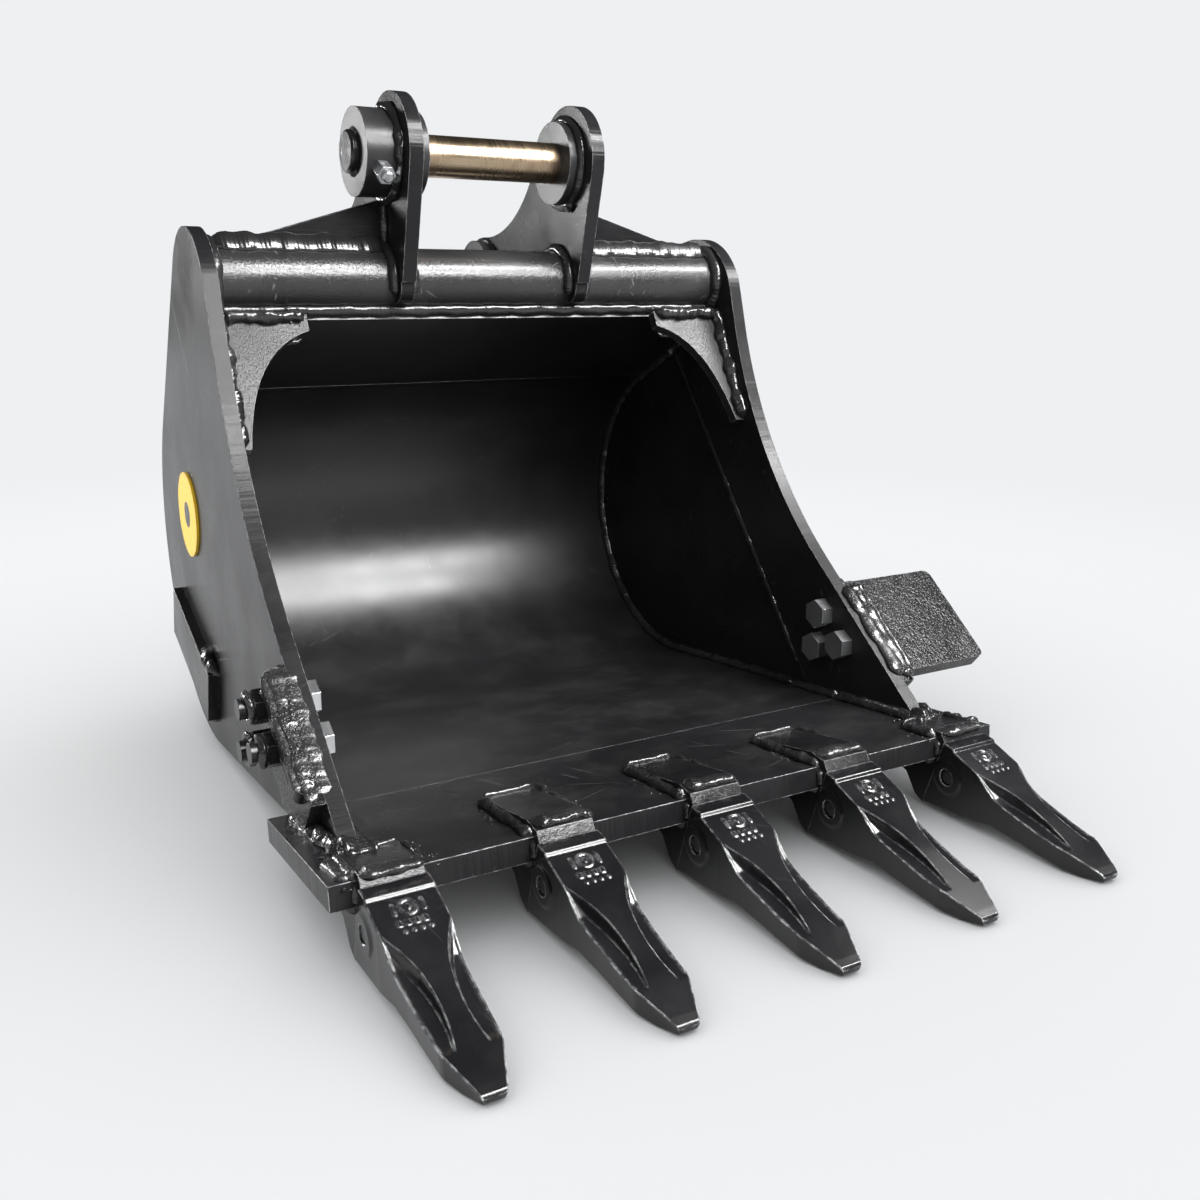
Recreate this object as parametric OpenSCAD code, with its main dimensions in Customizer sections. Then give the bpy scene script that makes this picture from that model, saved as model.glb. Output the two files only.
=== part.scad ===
// Digging bucket for a six-tonne excavator, lying on its teeth and heel.
// Frame: +X across the bucket, +Y from the teeth to the heel, +Z up.
// The origin is the centre of the link-pin bore, midway between the ears.
// Profiles are drawn in a side view, where the first number is the distance
// behind the teeth and the second is the height above the ground.

/* [Bowl] */
// Width over the outer faces of the side walls
body_w = 662; // [600:2:720]
// Inside radius of the rolled shell
shell_r = 205; // [190:1:220]
// Thickness of the rolled shell and the back plate
shell_t = 12; // [10:1:14]
// Thickness of the side walls behind the edge bars
wall_t = 10; // [8:1:12]
// Thickness of the side edge bars
bar_t = 16; // [14:1:20]
// Outside diameter of the torque tube
tube_d = 70; // [60:1:76]
// Wall of the torque tube
tube_wall = 8; // [6:1:10]

/* [Cutting edge] */
// Width of the lip plate
lip_w = 724; // [700:2:740]
// Thickness of the lip plate
lip_t = 22; // [18:1:25]
// Depth of the lip plate from front to back
lip_depth = 187; // [160:1:200]
// Distance from one tooth to the next
tooth_pitch = 156; // [150:1:158]
// Width of a tooth point at its back
tooth_w = 61; // [56:1:64]
// Radius of a tooth pin
tooth_pin_r = 8; // [6:0.5:9]
// Length of a tooth pin
tooth_pin_len = 58; // [54:1:60]

/* [Pin ears] */
// Clear gap between the inner boss faces
ear_gap = 170; // [160:1:180]
// Thickness of an ear plate
ear_t = 16; // [14:1:18]
// Thickness of an inner boss disc
boss_t = 16; // [12:1:18]
// Outside radius of the bosses and collars
boss_r = 46; // [42:1:48]
// Radius of the dipper pin and the link pin
pin_r = 22.5; // [20:0.5:25]
// Length of a pin collar
collar_len = 38; // [34:1:42]
// Radius of the bolt that keeps the pin
keeper_r = 6; // [5:0.5:8]

/* [Side cutters] */
// Length of a cutter along the edge
cutter_len = 130; // [110:1:140]
// Reach of the right cutter's wing
wing_reach = 135; // [100:1:150]
// Radius of a cutter bolt
cutter_bolt_r = 10; // [8:1:10]

/* [Hidden] */
$fn = 96;

// Colours
black = [0.10, 0.10, 0.11];
dark = [0.16, 0.16, 0.17];
bronze = [0.62, 0.48, 0.30];
zinc = [0.45, 0.45, 0.46];
yellow = [0.93, 0.73, 0.12];

// Main points of the side view, as [distance behind the teeth, height]
roll_c = [568, 233];      // centre of the rolled shell
link_c = [715, 552];      // link pin
pin_c = [483, 676];       // dipper pin
tube_c = [503, 543];      // torque tube
crown_c = [522, 512];     // rounded top of a side plate
crown_r = 85;
roll_top = 62;            // angle on the roll where the back plate starts
floor_a = 5.6;            // rise of the floor towards the lip
edge_a = 39.4;            // slope of the lower straight part of the side edge
throat_a = 73;            // slope of the upper straight part
edge_bend = [250, 222];   // start of the curved part of the side edge
edge_bend_r = 545;
rear_a = 38.3;            // facing of the straight rear line of a side plate
seam_a = 51.7;            // slope of the seam between bar and wall
seam_p = [260, 68];
rim = 5;                  // side plate past the outside of the shell
gap = 0.4;                // working clearance of a tooth on its adapter
fit = 0.05;               // radial clearance of a running pin
chamfer = 2.5;            // on the ends of the dipper pin
half_w = body_w / 2;
inner_w = half_w - bar_t;
wall_in = half_w - wall_t;
tube_r = tube_d / 2;
outer_r = shell_r + shell_t;
lip_front = 12;
floor_tan = roll_c - shell_r * [sin(floor_a), cos(floor_a)];
floor_run = [-cos(floor_a), sin(floor_a)];
floor_up = [sin(floor_a), cos(floor_a)];
lip_corner = floor_tan + (floor_tan[0] - lip_front) / cos(floor_a) * floor_run;
lip_back = lip_corner - lip_depth * floor_run;
roll_end = roll_c + shell_r * [cos(roll_top), sin(roll_top)];
to_tube = tube_c - roll_end;
plate_off = tube_r + shell_t;
plate_a = atan2(to_tube[1], -to_tube[0]) - asin(plate_off / norm(to_tube));
plate_run = [-cos(plate_a), sin(plate_a)];
plate_up = [sin(plate_a), cos(plate_a)];
plate_len = sqrt(norm(to_tube) * norm(to_tube) - plate_off * plate_off);
edge_run = [cos(edge_a), sin(edge_a)];
edge_in = [sin(edge_a), -cos(edge_a)];
edge_arc_c = edge_bend - edge_bend_r * edge_in;
edge_base = edge_bend - 194 * edge_run;   // start of the distances up the edge
// Foot of the side edge, where it meets the top of the lip
foot_run = (lip_corner[1] - edge_bend[1] + (edge_bend[0] - lip_corner[0]) * tan(edge_a))
  / (tan(edge_a) + tan(floor_a));
edge_foot = lip_corner + foot_run * [1, -tan(floor_a)];
seam_run = [cos(seam_a), sin(seam_a)];
ear_in = ear_gap / 2 + boss_t;
ear_out = ear_in + ear_t;
saddle_c = [700, 767];
saddle_r = 165;
nose_r = 69;
link_r = 50;
keeper_a = 26;            // slope of the keeper bolt
keeper_x = -(ear_out + collar_len / 2 + 3);
keeper_af = 18;
keeper_nut_h = 9;
wear_t = 16;              // heel strips, which the bucket stands on
pin_hole = [-7.4, 44.5];  // tooth pin
nut_af = 30;
cutter_t = 14;
// Cutter bolts: distance up the edge and depth behind it
cutter_holes = [[141, 36.5], [94, 36.5], [118, 72]];

// Points of a round stretch about c from angle a0 to a1
function arc(c, r, a0, a1, n = 24) =
  [for (i = [0:n]) c + r * [cos(a0 + (a1 - a0) * i / n), sin(a0 + (a1 - a0) * i / n)]];
// Quadratic curve from a to c, drawn towards b
function curve(a, b, c, n = 12) =
  [for (i = [0:n]) let (t = i / n) (1 - t) * (1 - t) * a + 2 * t * (1 - t) * b + t * t * c];
function side(s) = s == "l" ? -1 : 1;
function mirrored(p) = [-p[0], p[1]];
function tooth_x(i) = (i - 3) * tooth_pitch;

// Side-view profile to a solid between x0 and x1
module across(x0, x1) {
  translate([min(x0, x1), 0, 0])
    rotate([90, 0, 90]) linear_extrude(abs(x1 - x0)) children();
}
// Cylinder along X about a side-view point
module rod(c, r, x0, x1, f = 96) {
  translate([min(x0, x1), c[0], c[1]])
    rotate([0, 90, 0]) cylinder(r = r, h = abs(x1 - x0), $fn = f);
}
// From the drawing's side view to the part's own frame
module placed() {
  translate([0, -link_c[0], -link_c[1]]) children();
}
// Strip of length len and height h that starts at p and runs along u
module strip(p, u, v, len, h) {
  polygon([p, p + len * u, p + len * u + h * v, p + h * v]);
}

// ---- bowl ----
// The side plate's outline: edge, crown, rear line, roll and floor
module side_outline() {
  behind_lip = lip_back - floor_run;
  polygon(concat(
    [edge_foot],
    arc(edge_arc_c, edge_bend_r, edge_a - 90, throat_a - 90),
    arc(crown_c, crown_r, 90 + throat_a, rear_a, 32),
    arc(roll_c, outer_r + rim, rear_a, -90 - floor_a, 48),
    [behind_lip - (shell_t + rim) * floor_up, behind_lip]
  ));
}
// The half of the side view in front of the seam, or behind it
module seam_half(side_sign) {
  far = 1000;
  v = side_sign * [-seam_run[1], seam_run[0]];
  translate(seam_p) strip(-far / 2 * seam_run, seam_run, v, 1.5 * far, far);
}
module side_wall(s) {
  color(black) across(side(s) * wall_in, side(s) * half_w)
    intersection() {
      side_outline();
      seam_half(-1);
    }
}
module side_bar(s) {
  color(black) difference() {
    across(side(s) * inner_w, side(s) * half_w) intersection() {
      side_outline();
      seam_half(1);
    }
    cutter_drill(s);
  }
}
// Everything that the shell and floor plate enclose, grown by t
module roll_sector(r) {
  intersection() {
    translate(roll_c) circle(r = r, $fn = 180);
    polygon([
      roll_c,
      roll_c + 400 * [cos(roll_top), sin(roll_top)],
      roll_c + [500, 200],
      roll_c + [500, -400],
      roll_c + 500 * [-sin(floor_a), -cos(floor_a)]
    ]);
  }
}
module shell_profile() {
  difference() {
    roll_sector(outer_r);
    translate(roll_c) circle(r = shell_r, $fn = 180);
  }
  strip(floor_tan, floor_run, -floor_up, norm(floor_tan - lip_back), shell_t);
}
module shell() {
  color(black) difference() {
    across(-wall_in, wall_in) shell_profile();
    for (m = [-1, 1]) across(m * inner_w, m * (wall_in + 1)) seam_half(1);
  }
}
module back_plate() {
  color(black) difference() {
    across(-wall_in, wall_in) strip(roll_end, plate_run, plate_up, plate_len, shell_t);
    for (m = [-1, 1]) across(m * inner_w, m * (wall_in + 1)) seam_half(1);
  }
}
module lip() {
  color(black) across(-lip_w / 2, lip_w / 2)
    strip(lip_back, floor_run, -floor_up, lip_depth, lip_t);
}
module torque_tube() {
  color(dark) difference() {
    rod(tube_c, tube_r, -inner_w, inner_w);
    rod(tube_c, tube_r - tube_wall, -inner_w - 1, inner_w + 1);
  }
}

// ---- ears, bosses and pins ----
module ear_outline() {
  nose_a = 16;
  foot_a = 42;
  toe_c = [473, 537];
  toe_r = 19.5;
  front_top = pin_c - nose_r * [cos(nose_a), sin(nose_a)];
  nose_c = pin_c - [6, 0];
  front_low = front_top + 121 * [sin(nose_a), -cos(nose_a)];
  difference() {
    union() {
      translate(nose_c) circle(r = norm(front_top - nose_c));
      translate(link_c) circle(r = link_r);
      translate(toe_c) circle(r = toe_r);
      polygon(concat(
        [front_top, front_low, toe_c, tube_c, tube_c - (tube_r - 1) * plate_up,
          roll_end + (shell_t - 1) * plate_up],
        arc(roll_c, outer_r - 2, roll_top, foot_a, 8),
        [link_c + [link_r, -4], link_c + [0, link_r], [700, 640], pin_c + [52, 25], pin_c]
      ));
    }
    translate(saddle_c) circle(r = saddle_r, $fn = 180);
    translate(tube_c) circle(r = tube_r);
    translate(roll_c) circle(r = outer_r, $fn = 180);
    strip(roll_end - 40 * plate_run, plate_run, plate_up, plate_len + 40, shell_t);
  }
}
module ear(s) {
  color(black) difference() {
    across(side(s) * ear_in, side(s) * ear_out) ear_outline();
    rod(pin_c, pin_r + fit, -ear_out - 1, ear_out + 1);
    rod(link_c, pin_r + fit, -ear_out - 1, ear_out + 1);
  }
}
module boss(c, s) {
  color(dark) difference() {
    rod(c, boss_r, side(s) * (ear_in - boss_t), side(s) * ear_in);
    rod(c, pin_r + fit, -ear_out - 1, ear_out + 1);
  }
}
// Place along the keeper bolt's axis, with the nut side towards +Z
module on_keeper(c) {
  translate([keeper_x, c[0], c[1]]) rotate([90 + keeper_a, 0, 0]) children();
}
module collar(c) {
  mouth = 3.5;
  color(dark) difference() {
    rod(c, boss_r, -ear_out, -ear_out - collar_len);
    rod(c, pin_r + fit, -ear_out + 1, -ear_out - collar_len - 1);
    translate([-ear_out - collar_len - 0.01, c[0], c[1]])
      rotate([0, 90, 0]) cylinder(r1 = pin_r + mouth, r2 = pin_r, h = mouth);
    on_keeper(c) cylinder(r = keeper_r + fit, h = 3 * boss_r, center = true);
  }
}
module main_pin() {
  x0 = -ear_out - collar_len - 9;
  x1 = ear_out + 6;
  color(bronze) difference() {
    rod(pin_c, pin_r, x0, x1);
    for (e = [[x0, 0], [x1, 180]])
      translate([e[0], pin_c[0], pin_c[1]]) rotate([0, 90 + e[1], 0])
        difference() {
          translate([0, 0, -1]) cylinder(r = pin_r + 2, h = chamfer + 1);
          translate([0, 0, -0.01]) cylinder(r1 = pin_r - chamfer, r2 = pin_r, h = chamfer + 0.02);
        }
    on_keeper(pin_c) cylinder(r = keeper_r + fit, h = 3 * boss_r, center = true);
  }
}
module keeper_bolt() {
  head_h = 8;
  tail = 6;
  color(zinc) on_keeper(pin_c) {
    translate([0, 0, -boss_r - head_h])
      cylinder(r = keeper_af / 2 / cos(30), h = head_h, $fn = 6);
    translate([0, 0, -boss_r - 0.5])
      cylinder(r = keeper_r, h = 2 * boss_r + 2 * keeper_nut_h + tail);
    translate([0, 0, boss_r + 2 * keeper_nut_h + tail - 0.5])
      cylinder(r1 = keeper_r, r2 = keeper_r - 1.5, h = 1.5);
  }
}
module keeper_nuts() {
  color(zinc) on_keeper(pin_c) for (k = [0, 1])
    translate([0, 0, boss_r + 0.1 + k * (keeper_nut_h + 0.2)]) difference() {
      cylinder(r = keeper_af / 2 / cos(30), h = keeper_nut_h, $fn = 6);
      translate([0, 0, -1]) cylinder(r = keeper_r + fit, h = keeper_nut_h + 2);
    }
}

// ---- stiffening plates ----
module gusset(s) {
  high = 631;
  plate_t = 12;
  color(black) difference() {
    translate([0, tube_c[0] + plate_t / 2, 0]) rotate([90, 0, 0])
      linear_extrude(plate_t) polygon([
        [side(s) * ear_out, tube_c[1]],
        [side(s) * ear_out, high],
        [side(s) * inner_w, tube_c[1] + tube_r - 6],
        [side(s) * inner_w, tube_c[1]]
      ]);
    rod(tube_c, tube_r, -half_w, half_w);
  }
}
module corner_gusset(s) {
  wide = 95;
  tall = 150;
  plate_t = 12;
  lean = 27;
  top = [476, 505];
  color(black) difference() {
    translate([side(s) * inner_w, top[0], top[1]]) rotate([-lean, 0, 0])
      rotate([90, 0, 0]) linear_extrude(plate_t, center = true)
        mirror([side(s) > 0 ? 1 : 0, 0]) polygon(concat(
          [[0, -tall], [0, 6], [wide, 6], [wide, -20]],
          curve([wide, -20], [28, -40], [12, -tall])
        ));
    rod(tube_c, tube_r, -half_w, half_w);
    across(-half_w, half_w) strip(roll_end, plate_run, plate_up, plate_len + 20, 40);
  }
}

// ---- side cutters ----
// Side-view point s up the edge and p behind it
function edge_at(s, p) = edge_base + s * edge_run + p * edge_in;
module cutter_base() {
  depth = 88;
  intersection() {
    polygon([edge_at(12, 0), edge_at(cutter_len + 26, 0),
      edge_at(cutter_len + 26, depth - 12), edge_at(cutter_len + 14, depth), edge_at(12, depth)]);
    polygon([lip_back + 4 * floor_up - 300 * floor_run, lip_corner + 4 * floor_up,
      lip_corner + [0, 400], lip_back + [300, 400]]);
  }
}
// Wing plate that stands out from the edge, with its outer corners rounded
module wing(reach) {
  wing_t = 18;
  corner = min(9, reach / 3);
  foot = 25;
  translate([half_w, edge_base[0], edge_base[1]]) rotate([edge_a, 0, 0])
    translate([0, foot, -wing_t]) linear_extrude(wing_t) {
      square([reach - corner, cutter_len]);
      translate([0, corner]) square([reach, cutter_len - 2 * corner]);
      for (y = [corner, cutter_len - corner]) translate([reach - corner, y]) circle(r = corner);
    }
}
module cutter_drill(s) {
  for (h = cutter_holes)
    rod(edge_at(h[0], h[1]), cutter_bolt_r + 0.5, side(s) * (inner_w - 20), side(s) * (half_w + 40));
}
module side_cutter(s) {
  reach = s == "l" ? 22 : wing_reach;
  color(dark) difference() {
    union() {
      across(side(s) * half_w, side(s) * (half_w + cutter_t)) cutter_base();
      mirror([s == "l" ? 1 : 0, 0, 0]) wing(reach);
    }
    cutter_drill(s);
  }
}
module cutter_bolts(s) {
  head_h = 15;
  tail = 13;
  nut_h = 16;
  color(black) for (h = cutter_holes) {
    c = edge_at(h[0], h[1]);
    rod(c, nut_af / 2 / cos(30), side(s) * (inner_w - head_h), side(s) * inner_w, 6);
    rod(c, cutter_bolt_r, side(s) * (inner_w - 0.5), side(s) * (half_w + cutter_t + nut_h + tail));
  }
}
module cutter_nuts(s) {
  nut_h = 16;
  color(dark) for (h = cutter_holes) difference() {
    rod(edge_at(h[0], h[1]), nut_af / 2 / cos(30),
      side(s) * (half_w + cutter_t), side(s) * (half_w + cutter_t + nut_h), 6);
    rod(edge_at(h[0], h[1]), cutter_bolt_r,
      side(s) * (half_w + cutter_t - 1), side(s) * (half_w + cutter_t + nut_h + 1));
  }
}

// ---- wear parts ----
module side_wear(s) {
  plate_t = 12;
  high = 66;
  long = 190;
  rise = 20;
  front = [545, 42];
  color(black) across(side(s) * half_w, side(s) * (half_w + plate_t))
    strip(front, [cos(rise), sin(rise)], [-sin(rise), cos(rise)], long, high);
}
module heel_strip(i) {
  wide = 60;
  x = (i - 2) * 210;
  color(dark) across(x - wide / 2, x + wide / 2) {
    difference() {
      intersection() {
        translate(roll_c) circle(r = outer_r + wear_t, $fn = 180);
        polygon([roll_c, roll_c + [500, -120], roll_c + [500, -500],
          roll_c + 500 * [-sin(floor_a), -cos(floor_a)]]);
      }
      translate(roll_c) circle(r = outer_r, $fn = 180);
    }
    strip(floor_tan - shell_t * floor_up, floor_run, -floor_up, 170, wear_t);
  }
}

// ---- teeth ----
nose_top = [[-84, 32], [4, 66]];
nose_low = [[24, 15], [-84, 19]];
module nose_profile(g) {
  polygon([nose_top[0] + [-g, 0], nose_top[0] + [-g, g], nose_top[1] + [0, g],
    [12, 74], [34, 20], nose_low[0] + [0, -g], nose_low[1] + [-g, -g]]);
}
module adapter(i) {
  nose_w = 42;
  strap_w = 54;
  strap_end = abs(i - 3) == 2 ? 62 : 120;
  x = tooth_x(i);
  top_end = lip_corner - (strap_end - lip_front) * floor_run;
  low_end = lip_corner - 92 * floor_run - lip_t * floor_up;
  crest = strap_end > 100 ? [26, 91.5] : [16, 88];
  back_top = [1.2, 79];
  back_low = [26.6, 4];
  color(dark) difference() {
    union() {
      across(x - nose_w / 2, x + nose_w / 2) nose_profile(0);
      across(x - strap_w / 2, x + strap_w / 2) polygon([
        back_top, [7, 88.5], crest, top_end + 4 * floor_up, top_end,
        lip_corner, lip_corner - lip_t * floor_up, low_end,
        low_end + [0, -4], [52, 30], [38, 10], back_low
      ]);
    }
    across(x - strap_w, x + strap_w) strip(lip_back, floor_run, -floor_up, lip_depth, lip_t);
    rod(pin_hole, tooth_pin_r + fit, x - strap_w, x + strap_w);
  }
}
module tooth(i) {
  x = tooth_x(i);
  back = [tooth_w / 2, 40];
  shoulder = [tooth_w / 2, -20];
  middle = [26.5, -92];
  point_side = [24, -146];
  point_end = [10.5, -187];
  color(black) difference() {
    intersection() {
      across(x - tooth_w / 2, x + tooth_w / 2) polygon([
        [0.5, 79.8], [-14, 76], [-182, 11], [-186, 6], [-184, 1.5], [-166, 0],
        [-128, 5], [-66, 12.5], [-20, 7], [26, 3]
      ]);
      translate([x, 0, -20]) linear_extrude(140) polygon([
        back, shoulder, middle, point_side, point_end,
        mirrored(point_end), mirrored(point_side), mirrored(middle),
        mirrored(shoulder), mirrored(back)
      ]);
    }
    across(x - 21 - gap, x + 21 + gap) nose_profile(gap);
    rod(pin_hole, tooth_pin_r + fit, x - tooth_w, x + tooth_w);
  }
}
module tooth_pin(i) {
  x = tooth_x(i);
  c = 1.5;
  color(zinc) {
    rod(pin_hole, tooth_pin_r, x - tooth_pin_len / 2 + c, x + tooth_pin_len / 2 - c);
    for (m = [-1, 1])
      translate([x + m * (tooth_pin_len / 2 - c), pin_hole[0], pin_hole[1]])
        rotate([0, m * 90, 0]) cylinder(r1 = tooth_pin_r, r2 = tooth_pin_r - c, h = c);
  }
}

module badge() {
  color(yellow) rod([615, 276], 50, -half_w - 3, -half_w);
}

placed() side_wall("l");  // side_wall_l
placed() side_wall("r");  // side_wall_r
placed() side_bar("l");  // side_bar_l
placed() side_bar("r");  // side_bar_r
placed() shell();
placed() back_plate();
placed() lip();
placed() torque_tube();
placed() ear("l");  // ear_l
placed() ear("r");  // ear_r
placed() boss(pin_c, "l");  // pin_boss_l
placed() boss(pin_c, "r");  // pin_boss_r
placed() boss(link_c, "l");  // link_boss_l
placed() boss(link_c, "r");  // link_boss_r
placed() collar(pin_c);  // pin_collar
placed() collar(link_c);  // link_collar
placed() main_pin();
placed() keeper_bolt();
placed() keeper_nuts();
placed() gusset("l");  // gusset_l
placed() gusset("r");  // gusset_r
placed() corner_gusset("l");  // corner_gusset_l
placed() corner_gusset("r");  // corner_gusset_r
placed() side_cutter("l");  // side_cutter_l
placed() side_cutter("r");  // side_cutter_r
placed() cutter_bolts("l");  // cutter_bolts_l
placed() cutter_bolts("r");  // cutter_bolts_r
placed() cutter_nuts("l");  // cutter_nuts_l
placed() cutter_nuts("r");  // cutter_nuts_r
placed() side_wear("l");  // side_wear_l
placed() side_wear("r");  // side_wear_r
for (i = [1:3]) placed() heel_strip(i);
for (i = [1:5]) placed() adapter(i);
for (i = [1:5]) placed() tooth(i);
for (i = [1:5]) placed() tooth_pin(i);
placed() badge();
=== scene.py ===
"""The looks of a welded digging bucket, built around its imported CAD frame.

Everything is in metres in the part's own frame: +X across the bucket, +Y from the teeth to the
heel, +Z up, with the origin in the link-pin bore. Shapes are worked out in the bucket's side
view, where a point is (distance behind the teeth, height above the ground) in millimetres.
"""

import logging
import math
from dataclasses import dataclass, field
from enum import Enum

import bpy
import numpy as np
from mathutils import Euler, Matrix
from numpy.typing import NDArray

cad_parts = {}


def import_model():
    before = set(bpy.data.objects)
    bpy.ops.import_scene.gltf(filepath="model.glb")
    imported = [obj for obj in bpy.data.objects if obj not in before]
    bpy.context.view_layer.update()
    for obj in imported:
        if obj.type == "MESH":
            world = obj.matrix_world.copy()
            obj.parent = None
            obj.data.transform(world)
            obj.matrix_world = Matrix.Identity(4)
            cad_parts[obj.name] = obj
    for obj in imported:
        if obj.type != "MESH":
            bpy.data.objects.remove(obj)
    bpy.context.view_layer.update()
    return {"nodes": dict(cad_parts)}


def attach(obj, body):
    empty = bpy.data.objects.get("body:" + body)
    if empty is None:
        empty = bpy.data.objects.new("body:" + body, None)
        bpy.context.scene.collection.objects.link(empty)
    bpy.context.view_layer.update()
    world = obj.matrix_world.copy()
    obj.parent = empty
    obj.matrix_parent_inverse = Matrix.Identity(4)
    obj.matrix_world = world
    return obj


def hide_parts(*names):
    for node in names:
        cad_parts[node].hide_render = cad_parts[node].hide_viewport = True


LOG = logging.getLogger("bucket")
Array = NDArray[np.float64]
MM = 0.001
LINK_PIN = np.array([715.0, 552.0])
BUCKET = "bucket"


# ---------------------------------------------------------------- side view


def turn(angle: float) -> Array:
    """The unit side-view vector at an angle in degrees, counted from rearwards to upwards."""
    return np.array([math.cos(math.radians(angle)), math.sin(math.radians(angle))])


def unit(v: Array) -> Array:
    """Vectors made one long, along the last axis."""
    return v / np.maximum(np.linalg.norm(v, axis=-1, keepdims=True), 1e-12)


def placed(x: Array | float, side: Array) -> Array:
    """Points of the part's frame, in metres.

    Args:
        x: Distance across the bucket, in millimetres.
        side: Side-view points, in millimetres, in the last axis.

    Returns:
        Points with the last axis of three.
    """
    side = np.asarray(side, float)
    x = np.broadcast_to(np.asarray(x, float), side.shape[:-1])
    return np.stack([x, side[..., 0] - LINK_PIN[0], side[..., 1] - LINK_PIN[1]], -1) * MM


def across(side: Array) -> Array:
    """Side-view directions, in the last axis, as directions of the part's frame."""
    return np.insert(np.asarray(side, float), 0, 0.0, axis=-1)


@dataclass
class Plan:
    """The sizes of the bucket's side view, in millimetres, as the CAD has them."""

    half_w: float = 331.0
    inner_w: float = 315.0
    wall_in: float = 321.0
    roll_c: Array = field(default_factory=lambda: np.array([568.0, 233.0]))
    shell_r: float = 205.0
    shell_t: float = 12.0
    roll_top: float = 62.0
    floor_a: float = 5.6
    lip_front: float = 12.0
    lip_depth: float = 187.0
    lip_t: float = 22.0
    tube_c: Array = field(default_factory=lambda: np.array([503.0, 543.0]))
    tube_r: float = 35.0
    pin_c: Array = field(default_factory=lambda: np.array([483.0, 676.0]))
    boss_r: float = 46.0
    ear_in: float = 101.0
    ear_out: float = 117.0
    edge_a: float = 39.4
    edge_bend: Array = field(default_factory=lambda: np.array([250.0, 222.0]))
    seam_a: float = 51.7
    seam_p: Array = field(default_factory=lambda: np.array([260.0, 68.0]))
    tooth_pitch: float = 156.0
    strap_half: float = 27.0
    wear_rise: float = 20.0
    wear_long: float = 190.0
    wear_high: float = 66.0
    corner_lean: float = 27.0
    heel_x: tuple[float, ...] = (-210.0, 0.0, 210.0)
    heel_half: float = 30.0

    def __post_init__(self) -> None:
        """Works out the points that follow from the sizes."""
        self.floor_run = np.array(
            [-math.cos(math.radians(self.floor_a)), math.sin(math.radians(self.floor_a))]
        )
        self.floor_up = np.array([self.floor_run[1], -self.floor_run[0]])
        self.floor_tan = self.roll_c - self.shell_r * self.floor_up
        far = (self.floor_tan[0] - self.lip_front) / math.cos(math.radians(self.floor_a))
        self.lip_corner = self.floor_tan + far * self.floor_run
        self.lip_back = self.lip_corner - self.lip_depth * self.floor_run
        self.roll_end = self.roll_c + self.shell_r * turn(self.roll_top)
        to_tube = self.tube_c - self.roll_end
        off = self.tube_r + self.shell_t
        far = float(np.linalg.norm(to_tube))
        angle = math.degrees(math.atan2(to_tube[1], -to_tube[0]) - math.asin(off / far))
        self.plate_run = np.array([-math.cos(math.radians(angle)), math.sin(math.radians(angle))])
        self.plate_up = np.array([math.sin(math.radians(angle)), math.cos(math.radians(angle))])
        self.plate_len = math.sqrt(far * far - off * off)
        self.plate_end = self.roll_end + self.plate_len * self.plate_run
        self.edge_run = turn(self.edge_a)
        self.edge_in = np.array([self.edge_run[1], -self.edge_run[0]])
        self.edge_base = self.edge_bend - 194.0 * self.edge_run
        slope = math.tan(math.radians(self.edge_a))
        tilt = math.tan(math.radians(self.floor_a))
        run = (
            self.lip_corner[1] - self.edge_bend[1] + (self.edge_bend[0] - self.lip_corner[0]) * slope
        ) / (slope + tilt)
        self.edge_foot = self.lip_corner + run * np.array([1.0, -tilt])
        self.seam_run = turn(self.seam_a)
        self.seam_back = np.array([self.seam_run[1], -self.seam_run[0]])

    def edge_at(self, up: float, behind: float) -> Array:
        """The side-view point a way up a side's front edge and a way behind it."""
        return self.edge_base + up * self.edge_run + behind * self.edge_in

    def tooth_x(self, number: int) -> float:
        """Where tooth 1 to 5 stands across the bucket."""
        return (number - 3) * self.tooth_pitch


# ---------------------------------------------------------------- meshes


def make_mesh(name: str, points: Array, faces: Array | list) -> bpy.types.Object:
    """A smooth mesh object at the origin, with its place in its points.

    Args:
        name: The piece's name.
        points: Points in metres.
        faces: Rows of point numbers, or a list of rows of any length.

    Returns:
        The new object, linked into the scene.
    """
    mesh = bpy.data.meshes.new(name)
    rows = faces.tolist() if isinstance(faces, np.ndarray) else faces
    mesh.from_pydata(points.tolist(), [], rows)
    mesh.update()
    mesh.polygons.foreach_set("use_smooth", np.ones(len(mesh.polygons), bool))
    obj = bpy.data.objects.new(name, mesh)
    bpy.context.scene.collection.objects.link(obj)
    return obj


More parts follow.
